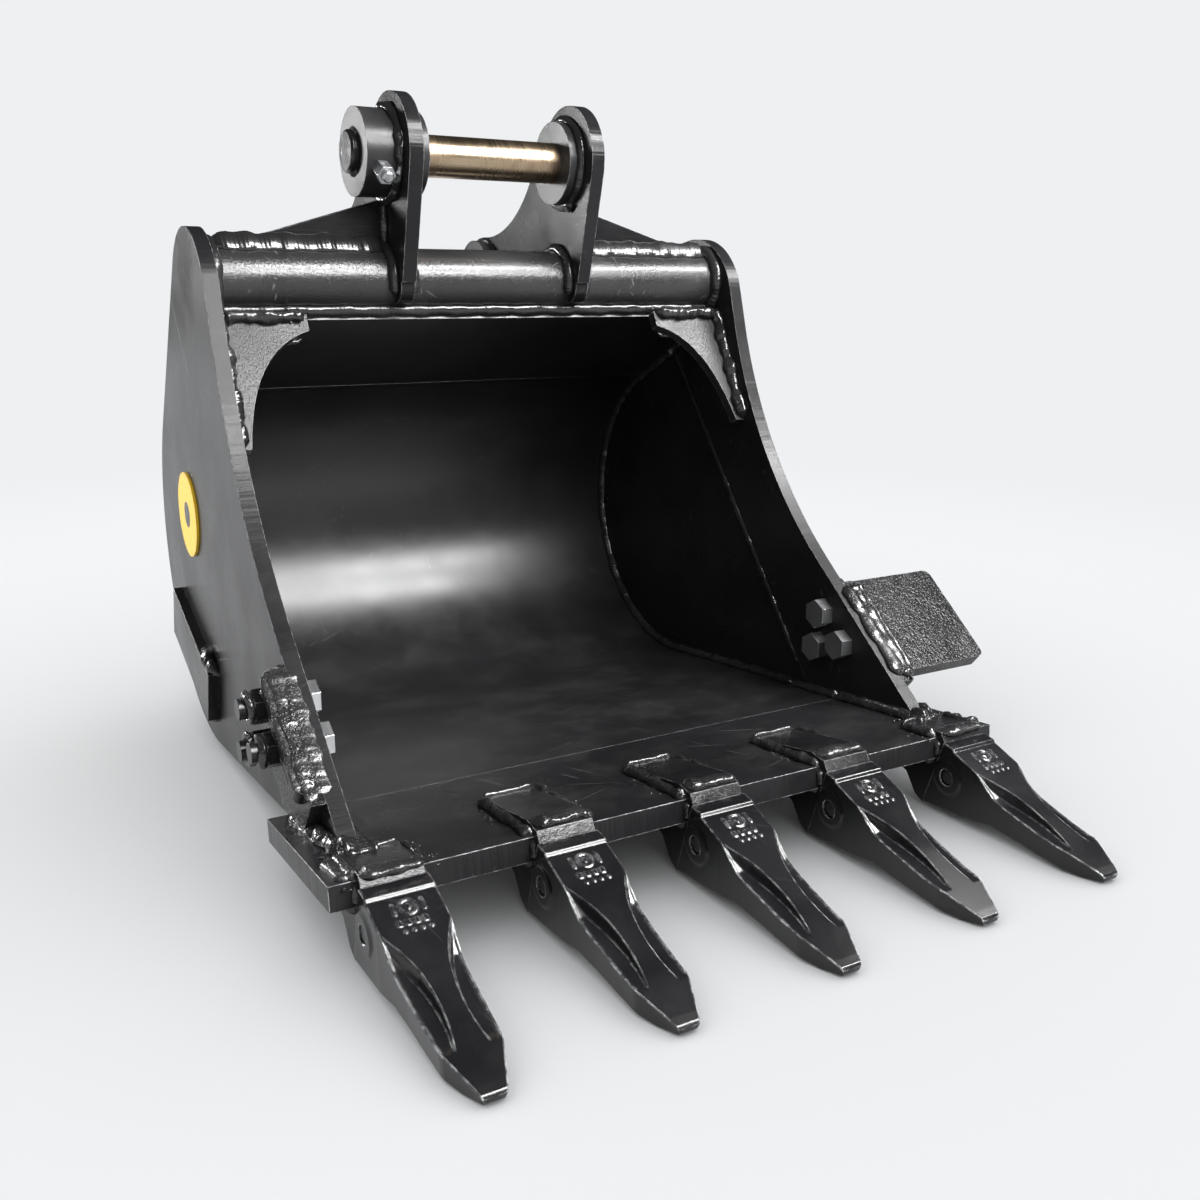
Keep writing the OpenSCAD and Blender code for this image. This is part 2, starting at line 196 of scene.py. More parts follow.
@dataclass
class Solid:
    """Closed surfaces gathered as arrays until they become one mesh."""

    points: list[Array] = field(default_factory=list)
    faces: list[list[int]] = field(default_factory=list)
    count: int = 0

    def tube(self, rings: Array) -> None:
        """Adds a closed skin over rings of points, with a pole at the middle of each end.

        Args:
            rings: Points as (ring, place round it, xyz), turning so that faces point outwards.
        """
        rows, cols = rings.shape[:2]
        ends = np.stack([rings[0].mean(0), rings[-1].mean(0)])
        base = self.count
        index = base + np.arange(rows * cols).reshape(rows, cols)
        nxt = np.roll(index, -1, axis=1)
        quads = np.stack([index[:-1], nxt[:-1], nxt[1:], index[1:]], -1).reshape(-1, 4)
        first, last = base + rows * cols, base + rows * cols + 1
        start = np.stack([np.full(cols, first), nxt[0], index[0]], -1)
        stop = np.stack([np.full(cols, last), index[-1], nxt[-1]], -1)
        self.points += [rings.reshape(-1, 3), ends]
        self.faces += quads.tolist() + start.tolist() + stop.tolist()
        self.count += rows * cols + 2

    def drops(self, centres: Array, normals: Array, radii: Array) -> None:
        """Adds small half-sunk drops of metal, each a squashed ball of eight by three faces.

        Args:
            centres: Places on a surface, in metres.
            normals: The surface's outward directions there.
            radii: Radius of each drop, in metres.
        """
        lon = np.linspace(0, 2 * np.pi, 8, endpoint=False)
        lat = np.radians([-55.0, -10.0, 30.0, 62.0])
        side = unit(np.cross(normals, [0.31, 0.57, 0.76]))
        other = np.cross(normals, side)
        for c, n, a, b, r in zip(centres, normals, side, other, radii):
            around = np.cos(lon)[:, None] * a + np.sin(lon)[:, None] * b
            ring = [c + r * (np.cos(t) * around + 0.75 * np.sin(t) * n) for t in lat]
            self.tube(np.array(ring))

    def build(self, name: str) -> bpy.types.Object:
        """The gathered surfaces as one object."""
        return make_mesh(name, np.concatenate(self.points), self.faces)


def wave(u: Array, rng: np.random.Generator, length: float, octaves: int = 3) -> Array:
    """Smooth one-way noise between about -1 and 1: a sum of sine waves of random phase.

    Args:
        u: Where it is wanted, in metres.
        rng: The seeded source of the phases.
        length: The longest wave, in metres. Each next one is about half as long.
        octaves: How many waves are added.
    """
    total = np.zeros_like(u, float)
    for k in range(octaves):
        size = length / 2.1**k
        total += np.sin(2 * np.pi * u / size + rng.uniform(0, 6.28)) * 0.6**k * rng.uniform(0.7, 1.3)
    return total / 1.9


def cross_line(x0: float, x1: float, side: Array, count: int = 60) -> Array:
    """A straight line across the bucket at one side-view point."""
    return placed(np.linspace(x0, x1, count), np.broadcast_to(side, (count, 2)))


def side_line(x: float, start: Array, stop: Array, count: int = 60) -> Array:
    """A straight line in the side view at one place across."""
    return placed(x, start + np.linspace(0, 1, count)[:, None] * (stop - start))


def side_arc(
    x: float, centre: Array, radius: float, first: float = 0.0, last: float = 360.0, count: int = 120
) -> tuple[Array, Array]:
    """An arc about a side-view point.

    Args:
        x: Place across the bucket, in millimetres.
        centre: The side-view point.
        radius: In millimetres.
        first: Angle where it starts, in degrees.
        last: Angle where it ends.
        count: How many points.

    Returns:
        Its points, and its outward directions in the part's frame.
    """
    t = np.radians(np.linspace(first, last, count))
    out = np.stack([np.cos(t), np.sin(t)], -1)
    return placed(x, centre + radius * out), across(out)


class BeadKind(Enum):
    """How a weld was laid: height share, ripple, lumps, and the ripple's pitch in millimetres."""

    ROUGH = (0.32, 0.15, 0.16, 4.6)
    MESSY = (0.38, 0.17, 0.34, 6.4)
    GROUND = (0.10, 0.05, 0.06, 4.0)


MESSY, GROUND = BeadKind.MESSY, BeadKind.GROUND


@dataclass
class WeldSet:
    """The weld beads of one area, which become one piece."""

    name: str
    seed: int
    solid: Solid = field(default_factory=Solid)

    def __post_init__(self) -> None:
        """Starts the area's own run of random numbers."""
        self.rng = np.random.default_rng(self.seed)

    def bead(
        self, root: Array, leg_a: Array, leg_b: Array, size: float, kind: BeadKind = BeadKind.ROUGH,
        grow: float = 1.0,
    ) -> None:
        """Adds a bead along a corner, closed and tapered at both ends.

        A ring is half an ellipse that stands on the line between the two toes, at a distance
        size from the corner, over a shallow hidden half. Its height follows |sin| of the length
        over the pitch, bent back at the toes, which gives the ripples, and slow waves swell and
        shrink it.

        Args:
            root: The corner's line as (n, 3) points in metres.
            leg_a: Direction from the corner along one surface, one for all or one a point.
            leg_b: The same along the other surface, so that leg_a x leg_b follows the line.
            size: Leg length in millimetres.
            kind: How it was laid.
            grow: Factor on the height.
        """
        height, ripple, lump, pitch = kind.value
        size, pitch = size * MM, pitch * MM
        root = np.asarray(root, float)
        leg_a = unit(np.broadcast_to(np.asarray(leg_a, float), root.shape))
        leg_b = unit(np.broadcast_to(np.asarray(leg_b, float), root.shape))
        gaps = np.linalg.norm(np.diff(root, axis=0), axis=1)
        run = np.concatenate([[0.0], np.cumsum(gaps)])
        rows = max(8, int(run[-1] / (0.0013 if size > 0.005 else 0.001)))
        u = np.linspace(0, run[-1], rows)

        def spread(a: Array) -> Array:
            """An array of the line's points taken at the finer places u."""
            return np.stack([np.interp(u, run, a[:, i]) for i in range(3)], -1)

        line, a, b = spread(root), unit(spread(leg_a)), unit(spread(leg_b))
        ends = np.sqrt(np.clip(np.minimum(u, run[-1] - u) / (0.8 * size), 0.0, 1.0)) * 0.98 + 0.02
        swell = np.maximum(1 + lump * 0.7 * wave(u, self.rng, 0.045, 2), 0.5)
        rise = np.maximum(1 + lump * 0.8 * wave(u, self.rng, 0.026, 2), 0.4)
        shift = lump * 0.35 * size * wave(u, self.rng, 0.06)
        reach = size * swell * ends
        middle = line + 0.5 * reach[:, None] * (a + b) + shift[:, None] * unit(b - a) * ends[:, None]
        half = 0.5 * np.linalg.norm(b - a, axis=1) * reach
        axis, out = unit(b - a), unit(a + b + 1e-9)
        flat = np.linalg.norm(a + b, axis=1) < 0.25
        if flat.any():
            out[flat] = np.cross(unit(np.gradient(line, axis=0)), axis)[flat] * -1.0
        round_ = np.linspace(0, 2 * np.pi, 15, endpoint=False) + 0.01
        cos, sin = np.cos(round_), np.sin(round_)
        phase = u[:, None] / pitch + 0.5 * lump * wave(
            u, self.rng, 0.03
        )[:, None] + 0.42 * (cos**2)[None, :]
        scallop = 1 + ripple * (np.abs(np.sin(np.pi * phase)) - 0.6)
        blob = 1 + lump * 0.35 * np.sin(
            u[:, None] / (0.9 * size) + 2.4 * cos[None, :] + self.rng.uniform(0, 6.0)
        )
        top = np.where(sin > 0, np.abs(sin) ** 0.9, 0)
        lift = 2 * half[:, None] * height * grow * (rise * ends)[:, None] * top * scallop * blob
        sink = np.where(sin < 0, -sin, 0)[None, :] * np.maximum(0.55 * reach, 0.0004)[:, None]
        rings = (
            middle[:, None, :]
            + (
                half[:, None] * cos[None, :] * (1 + 0.06 * ripple * np.sin(2 * np.pi * phase))
            )[..., None] * axis[:, None, :]
            + (lift - sink)[..., None] * out[:, None, :]
        )
        along = np.gradient(line, axis=0)
        if float(np.mean(np.sum(np.cross(axis, out) * along, -1))) < 0:
            rings = rings[:, ::-1]
        self.solid.tube(rings)

    def seam(
        self, x: float, start: Array, stop: Array, leg: Array, face: float, size: float,
        kind: BeadKind = BeadKind.ROUGH, grow: float = 1.0, count: int = 60,
    ) -> None:
        """Adds a straight bead in the side view, against a face that looks along X."""
        self.bead(side_line(x, start, stop, count), across(leg), (face, 0, 0), size, kind, grow)

    def course(
        self, x0: float, x1: float, side: Array, leg_a: Array, leg_b: Array, size: float,
        kind: BeadKind = BeadKind.ROUGH, grow: float = 1.0, count: int = 60,
    ) -> None:
        """Adds a straight bead across the bucket, between two side-view directions."""
        self.bead(cross_line(x0, x1, side, count), across(leg_a), across(leg_b), size, kind, grow)

    def round(
        self, x: float, centre: Array, radius: float, face: float, size: float,
        kind: BeadKind = BeadKind.ROUGH, grow: float = 1.0,
        first: float = 0.0, last: float = 360.0, count: int = 120,
    ) -> None:
        """Adds a bead on an arc, against a face that looks along X."""
        path, out = side_arc(x, centre, radius, first, last, count)
        self.bead(path, out, (face, 0, 0), size, kind, grow)

    def spatter(
        self, centre: Array, spread_a: Array, spread_b: Array, normal: Array, count: int,
        size: float = 1.0,
    ) -> None:
        """Throws small drops over a patch, thicker towards its middle.

        Args:
            centre: Middle of the patch, in metres.
            spread_a: Half extent one way, as a vector.
            spread_b: Half extent the other way.
            normal: The surface's outward direction.
            count: How many drops.
            size: Mean radius in millimetres.
        """
        a = self.rng.normal(0, 0.45, count).clip(-1, 1)
        b = self.rng.normal(0, 0.45, count).clip(-1, 1)
        where = np.asarray(centre) + a[:, None] * np.asarray(spread_a)
        where = where + b[:, None] * np.asarray(spread_b)
        radii = size * MM * self.rng.uniform(0.4, 1.4, count)
        self.solid.drops(where, np.broadcast_to(unit(np.asarray(normal, float)), where.shape), radii)

    def finish(self, material: bpy.types.Material, slot: str) -> bpy.types.Object:
        """Makes the piece, dresses it and lets it ride on the bucket."""
        obj = self.solid.build(self.name)
        obj.data.materials.append(material)
        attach(obj, BUCKET)
        LOG.info("%s: %d faces", self.name, len(obj.data.polygons))
        return obj


# ---------------------------------------------------------------- finishes


class Shader:
    """A short way to write a node tree: nodes by type, sockets by name."""

    def __init__(self, tree: bpy.types.NodeTree) -> None:
        """Takes the tree to write in."""
        self.tree = tree
        self.col = 0

    def node(self, kind: str, inputs: dict | None = None, **props: object) -> bpy.types.Node:
        """Adds a node.

        Args:
            kind: Blender's node type.
            inputs: Socket name or number to a value or to another node's output.
            **props: Settings of the node.

        Returns:
            The node.
        """
        n = self.tree.nodes.new(kind)
        n.location = (self.col * 40, -self.col * 25)
        self.col += 1
        for key, value in props.items():
            setattr(n, key, value)
        for key, value in (inputs or {}).items():
            if isinstance(value, bpy.types.NodeSocket):
                self.tree.links.new(value, n.inputs[key])
            else:
                n.inputs[key].default_value = value
        return n

    def math(self, how: str, a: object, b: object = 0.0, clamp: bool = False) -> bpy.types.NodeSocket:
        """One Math node's output."""
        return self.node("ShaderNodeMath", {0: a, 1: b}, operation=how, use_clamp=clamp).outputs[0]

    def ramp(
        self, value: object, low: float, high: float, to_low: float = 0.0, to_high: float = 1.0
    ) -> bpy.types.NodeSocket:
        """A smooth step from one value to another."""
        n = self.node(
            "ShaderNodeMapRange",
            {"Value": value, "From Min": low, "From Max": high, "To Min": to_low, "To Max": to_high},
            interpolation_type="SMOOTHSTEP",
        )
        return n.outputs["Result"]

    def noise(
        self, where: object, scale: float, detail: float = 3.0, rough: float = 0.5, warp: float = 0.0
    ) -> bpy.types.NodeSocket:
        """A noise texture's value."""
        n = self.node(
            "ShaderNodeTexNoise",
            {"Vector": where, "Scale": scale, "Detail": detail, "Roughness": rough, "Distortion": warp},
        )
        return n.outputs["Fac"]

    def vector(self, how: str, a: object, b: object) -> bpy.types.NodeSocket:
        """One Vector Math node's output: a number for a dot product, or else a vector."""
        n = self.node("ShaderNodeVectorMath", {0: a, 1: b}, operation=how)
        return n.outputs["Value" if how == "DOT_PRODUCT" else "Vector"]

    def relief(self, height: object, depth: float, radius: float) -> bpy.types.NodeSocket:
        """A bumped normal over rounded edges.

        Args:
            height: The relief, from 0 to about 1.
            depth: How deep it is, in metres.
            radius: What the edges are rounded to, in metres.

        Returns:
            The normal.
        """
        rounded = self.node("ShaderNodeBevel", {"Radius": radius}, samples=4).outputs["Normal"]
        bump = {"Height": height, "Normal": rounded, "Distance": depth}
        return self.node("ShaderNodeBump", bump).outputs["Normal"]

    def send(self, group_output: bpy.types.Node, **values: bpy.types.NodeSocket) -> None:
        """Puts values out of a group, by the names of its outputs."""
        for key, value in values.items():
            self.tree.links.new(value, group_output.inputs[key])

    def mix(self, factor: object, a: object, b: object) -> bpy.types.NodeSocket:
        """A colour between two colours."""
        n = self.node("ShaderNodeMix", {0: factor, 6: a, 7: b}, data_type="RGBA")
        return n.outputs[2]


def new_material(name: str) -> tuple[bpy.types.Material, Shader]:
    """An empty material.

    Args:
        name: The material's name.

    Returns:
        The material, and the writer of its nodes.
    """
    mat = bpy.data.materials.new(name)
    mat.use_nodes = True
    mat.node_tree.nodes.clear()
    return mat, Shader(mat.node_tree)


def new_group(
    name: str, inputs: list[tuple[str, str, object]], outputs: list[tuple[str, str]]
) -> tuple[bpy.types.NodeTree, Shader, bpy.types.Node, bpy.types.Node]:
    """A shader node group with its sockets.

    Args:
        name: The group's name.
        inputs: Name, type and starting value of each input.
        outputs: Name and type of each output.

    Returns:
        The tree, its writer, and its input and output nodes.
    """
    tree = bpy.data.node_groups.new(name, "ShaderNodeTree")
    for label, kind, value in inputs:
        socket = tree.interface.new_socket(name=label, in_out="INPUT", socket_type=kind)
        if value is not None:
            socket.default_value = value
    for label, kind in outputs:
        tree.interface.new_socket(name=label, in_out="OUTPUT", socket_type=kind)
    shader = Shader(tree)
    return tree, shader, shader.node("NodeGroupInput"), shader.node("NodeGroupOutput")


FLOAT, VECTOR, COLOR = "NodeSocketFloat", "NodeSocketVector", "NodeSocketColor"


@dataclass
class Effects:
    """The shader groups that the finishes share."""

    def __post_init__(self) -> None:
        """Builds each group once."""
        self.peel = self._peel()
        self.flame = self._flame()
        self.dust = self._dust()
        self.scratches = self._scratches()
        self.edges = self._edge_highlights()

    def _peel(self) -> bpy.types.NodeTree:
        """Sprayed enamel's skin: an orange-peel grain over slow waves, and its gloss mask."""
        tree, s, i, o = new_group(
            "Enamel skin",
            [
                ("Where", VECTOR, None), ("Grain", FLOAT, 1.0), ("Waves", FLOAT, 1.0),
                ("Grit", FLOAT, 0.0), ("Grain size", FLOAT, 380.0),
            ],
            [("Height", FLOAT), ("Gloss", FLOAT)],
        )
        where = i.outputs["Where"]
        fine = s.node(
            "ShaderNodeTexNoise", {"Vector": where, "Scale": i.outputs["Grain size"], "Detail": 1.5}
        ).outputs["Fac"]
        coarse = s.noise(where, 26.0, 2.0, 0.45)
        grit = s.node("ShaderNodeTexVoronoi", {"Vector": where, "Scale": 520.0}).outputs["Distance"]
        specks = s.ramp(grit, 0.0, 0.42, 1.0, 0.0)
        h = s.math("MULTIPLY", fine, s.math("MULTIPLY", i.outputs["Grain"], 0.16))
        h = s.math("ADD", h, s.math("MULTIPLY", coarse, i.outputs["Waves"]))
        h = s.math("ADD", h, s.math("MULTIPLY", specks, s.math("MULTIPLY", i.outputs["Grit"], 0.5)))
        s.send(o, Height=h)
        s.send(o, Gloss=s.ramp(s.noise(where, 9.0, 4.0, 0.55), 0.35, 0.68))
        return tree

    def _flame(self) -> bpy.types.NodeTree:
        """A flame-cut edge: fine drag lines through the plate's thickness, on cut faces alone."""
        tree, s, i, o = new_group(
            "Flame cut",
            [
                ("Where", VECTOR, None), ("Normal", VECTOR, None), ("Through", VECTOR, (1.0, 0.0, 0.0)),
                ("Pitch", FLOAT, 260.0),
            ],
            [("Height", FLOAT), ("Mask", FLOAT)],
        )
        facing = s.vector("DOT_PRODUCT", i.outputs["Normal"], i.outputs["Through"])
        mask = s.ramp(s.math("ABSOLUTE", facing), 0.35, 0.6, 1.0, 0.0)
        flat = s.vector("DOT_PRODUCT", i.outputs["Where"], i.outputs["Through"])
        squash = s.node(
            "ShaderNodeVectorMath", {0: i.outputs["Through"], "Scale": s.math("MULTIPLY", flat, 0.93)},
            operation="SCALE",
        ).outputs[0]
        line = s.vector("SUBTRACT", i.outputs["Where"], squash)
        drag = s.node(
            "ShaderNodeTexNoise", {"Vector": line, "Scale": i.outputs["Pitch"], "Detail": 1.0}
        ).outputs["Fac"]
        steps = s.noise(line, 55.0, 2.0)
        h = s.math(
            "ADD", s.math("MULTIPLY", drag, 0.6), s.math("MULTIPLY", s.ramp(steps, 0.42, 0.6), 0.3)
        )
        s.send(o, Height=s.math("MULTIPLY", h, mask))
        s.send(o, Mask=mask)
        return tree

    def _dust(self) -> bpy.types.NodeTree:
        """Fine dust and dull film, more on what faces up."""
        tree, s, i, o = new_group(
            "Dust film",
            [("Where", VECTOR, None), ("Normal", VECTOR, None), ("Amount", FLOAT, 0.3)],
            [("Mask", FLOAT)],
        )
        up = s.node("ShaderNodeSeparateXYZ", {0: i.outputs["Normal"]}).outputs["Z"]
        lie = s.ramp(up, -0.2, 0.9, 0.35, 1.0)
        patch = s.ramp(s.noise(i.outputs["Where"], 14.0, 6.0, 0.62), 0.42, 0.78)
        speck = s.ramp(s.noise(i.outputs["Where"], 700.0, 1.0), 0.66, 0.76)
        both = s.math("ADD", s.math("MULTIPLY", patch, 0.7), s.math("MULTIPLY", speck, 0.6), True)
        s.send(o, Mask=s.math("MULTIPLY", s.math("MULTIPLY", both, lie), i.outputs["Amount"]))
        return tree

    def _scratches(self) -> bpy.types.NodeTree:
        """Thin scuffs in several directions, broken up in patches."""
        tree, s, i, o = new_group(
            "Scuffs", [("Where", VECTOR, None), ("Amount", FLOAT, 0.5)], [("Mask", FLOAT)]
        )
        total: object = 0.0
        for angle, stretch in ((0.5, 7.0), (-0.35, 9.0), (1.25, 12.0)):
            spun = s.node(
                "ShaderNodeVectorRotate", {"Vector": i.outputs["Where"], "Angle": angle},
                rotation_type="AXIS_ANGLE",
            ).outputs[0]
            long = s.vector("MULTIPLY", spun, (stretch, 260.0, 60.0))
            line = s.ramp(s.noise(long, 1.0, 1.0), 0.70, 0.76)
            total = s.math("ADD", total, line)
        patch = s.ramp(s.noise(i.outputs["Where"], 11.0, 2.0), 0.48, 0.66)
        s.send(o, Mask=s.math("MULTIPLY", s.math("MULTIPLY", total, patch, True), i.outputs["Amount"]))
        return tree

    def _edge_highlights(self) -> bpy.types.NodeTree:
        """Painted edge highlights: a light colour by how far the face turns from its neighbours, broken
        up by noise.
        """
        tree, s, i, o = new_group(
            "Painted edge highlights", [("Where", VECTOR, None), ("Amount", FLOAT, 0.5), ("Radius", FLOAT, 0.0012)],
            [("Mask", FLOAT)],
        )
        # Painted highlight mask: where the rounded normal parts from the face's own, so edges read as
        # catching the light.
        soft = s.node("ShaderNodeBevel", {"Radius": i.outputs["Radius"]}, samples=6).outputs["Normal"]
        hard = s.node("ShaderNodeNewGeometry").outputs["Normal"]
        same = s.vector("DOT_PRODUCT", soft, hard)
        bend = s.ramp(same, 0.92, 0.998, 1.0, 0.0)
        gaps = s.ramp(s.noise(i.outputs["Where"], 130.0, 5.0, 0.65), 0.4, 0.6, 0.15, 1.0)
        s.send(o, Mask=s.math("MULTIPLY", s.math("MULTIPLY", bend, gaps), i.outputs["Amount"], True))
        return tree


@dataclass(frozen=True)
class Enamel:
    """Black enamel on steel, as one plate or casting wears it.

    Attributes:
        name: The material's name.
        base: Colour of the paint.
        rough: Roughness where it is glossy.
        rough_dull: Roughness where it is dull.
        grain: Strength of the orange peel.
        waves: Strength of the slow waves.
        grit: Strength of a sandy grain under the paint.
        relief: Depth of the relief in metres.
        cut: Direction through the plate where its edges are flame cut, or None.
        round_off: Radius that the paint rounds edges to, in metres.
        dust: Amount of dust.
        scuffs: Amount of scratches.
        grain_size: How fine the orange peel is.
        lines: Strength of the flame-cut lines.
        ior: Index of refraction, which sets how much the paint mirrors.
        edge: How bright its painted edge highlights are.
        edge_r: How wide its painted edge highlights are, in metres.
    """

    name: str
    base: tuple[float, float, float] = (0.006, 0.006, 0.0065)
    rough: float = 0.24
    rough_dull: float = 0.42
    grain: float = 1.0
    waves: float = 1.0
    grit: float = 0.0
    relief: float = 0.0006
    cut: tuple[float, float, float] | None = None
    round_off: float = 0.0014
    dust: float = 0.08
    scuffs: float = 0.12
    grain_size: float = 380.0
    lines: float = 0.8
    ior: float = 1.36
    edge: float = 0.25
    edge_r: float = 0.0012

    def build(self, fx: Effects) -> bpy.types.Material:
        """Makes the material out of the shared effects."""
        mat, s = new_material(self.name)
        where = s.node("ShaderNodeTexCoord").outputs["Object"]
        facing = s.node("ShaderNodeNewGeometry").outputs["Normal"]
        skin = s.node(
            "ShaderNodeGroup",
            {
                "Where": where, "Grain": self.grain, "Waves": self.waves, "Grit": self.grit,
                "Grain size": self.grain_size,
            },
            node_tree=fx.peel,
        )
        film = {"Where": where, "Normal": facing, "Amount": self.dust}
        dust = s.node("ShaderNodeGroup", film, node_tree=fx.dust)
        marks = {"Where": where, "Amount": self.scuffs}
        scuff = s.node("ShaderNodeGroup", marks, node_tree=fx.scratches)
        height = skin.outputs["Height"]
        if self.cut is not None:
            plate = {"Where": where, "Normal": facing, "Through": self.cut}
            cut = s.node("ShaderNodeGroup", plate, node_tree=fx.flame)
            height = s.math("ADD", height, s.math("MULTIPLY", cut.outputs["Height"], self.lines))
        bump = s.relief(height, self.relief, self.round_off)
        lighter = tuple(1.8 * c for c in self.base)
        tone = s.mix(s.math("MULTIPLY", skin.outputs["Gloss"], 0.5), (*self.base, 1.0), (*lighter, 1.0))
        tone = s.mix(dust.outputs["Mask"], tone, (0.16, 0.155, 0.15, 1.0))
        tone = s.mix(s.math("MULTIPLY", scuff.outputs["Mask"], 0.5), tone, (0.22, 0.22, 0.225, 1.0))
        # Painted highlights: a light grey mixed into the colour along edges, as if they caught the
        # light.
        highlight_inputs = {"Where": where, "Amount": self.edge, "Radius": self.edge_r}
        edge_highlight = s.node("ShaderNodeGroup", highlight_inputs, node_tree=fx.edges)
        tone = s.mix(edge_highlight.outputs["Mask"], tone, (0.62, 0.63, 0.64, 1.0))
        rough = s.node(
            "ShaderNodeMapRange",
            {"Value": skin.outputs["Gloss"], "To Min": self.rough, "To Max": self.rough_dull},
        ).outputs["Result"]
        rough = s.math("ADD", rough, s.math("MULTIPLY", dust.outputs["Mask"], 0.35), True)
        paint = {"Base Color": tone, "Roughness": rough, "Normal": bump, "IOR": self.ior}
        shader = s.node("ShaderNodeBsdfPrincipled", paint)
        s.node("ShaderNodeOutputMaterial", {"Surface": shader.outputs[0]})
        return mat


@dataclass(frozen=True)
class Steel:
    """Bare or plated steel, with turning marks along or round it.

    Attributes:
        name: The material's name.
        base: Colour of the metal.
        stain: Colour of its stains.
        rough: Mean roughness.
        marks: How finely it is marked along X, in waves a metre.
        relief: Depth of the marks in metres.
        patch: How much of it is stained.
        paint_from: Distance from the bucket's middle where black paint starts, in metres.
    """

    name: str
    base: tuple[float, float, float]
    stain: tuple[float, float, float]
    rough: float = 0.25
    marks: float = 900.0
    relief: float = 0.00012
    patch: float = 0.4
    paint_from: float = 9.0

    def build(self, fx: Effects) -> bpy.types.Material:
        """Makes the material."""
        mat, s = new_material(self.name)
        where = s.node("ShaderNodeTexCoord").outputs["Object"]
        band = s.vector("MULTIPLY", where, (1.0, 0.06, 0.06))
        turning = s.noise(band, self.marks, 3.0, 0.6)
        stains = s.ramp(
            s.noise(band, 32.0, 4.0, 0.6, 0.5), 0.5 - 0.35 * self.patch, 0.85 - 0.25 * self.patch
        )
        blotch = s.noise(where, 90.0, 5.0, 0.6)
        scuff = s.node("ShaderNodeGroup", {"Where": where, "Amount": 0.5}, node_tree=fx.scratches)
        tone = s.mix(s.math("MULTIPLY", stains, blotch), (*self.base, 1.0), (*self.stain, 1.0))
        rough = s.math("ADD", s.math("MULTIPLY", turning, 0.2), self.rough - 0.1)
        rough = s.math("ADD", rough, s.math("MULTIPLY", stains, 0.12), True)
        height = s.math("SUBTRACT", turning, s.math("MULTIPLY", scuff.outputs["Mask"], 1.5))
        bump = s.relief(height, self.relief, 0.0008)
        out_x = s.math("ABSOLUTE", s.node("ShaderNodeSeparateXYZ", {0: where}).outputs["X"])
        painted = s.ramp(
            s.math("ADD", out_x, s.math("MULTIPLY", blotch, 0.002)), self.paint_from,
            self.paint_from + 0.002,
        )
        tone = s.mix(painted, tone, (0.008, 0.008, 0.009, 1.0))
        metal = s.math("SUBTRACT", 1.0, painted)
        surface = {"Base Color": tone, "Roughness": rough, "Metallic": metal, "Normal": bump}
        shader = s.node("ShaderNodeBsdfPrincipled", surface)
        s.node("ShaderNodeOutputMaterial", {"Surface": shader.outputs[0]})
        return mat


# ---------------------------------------------------------------- welds


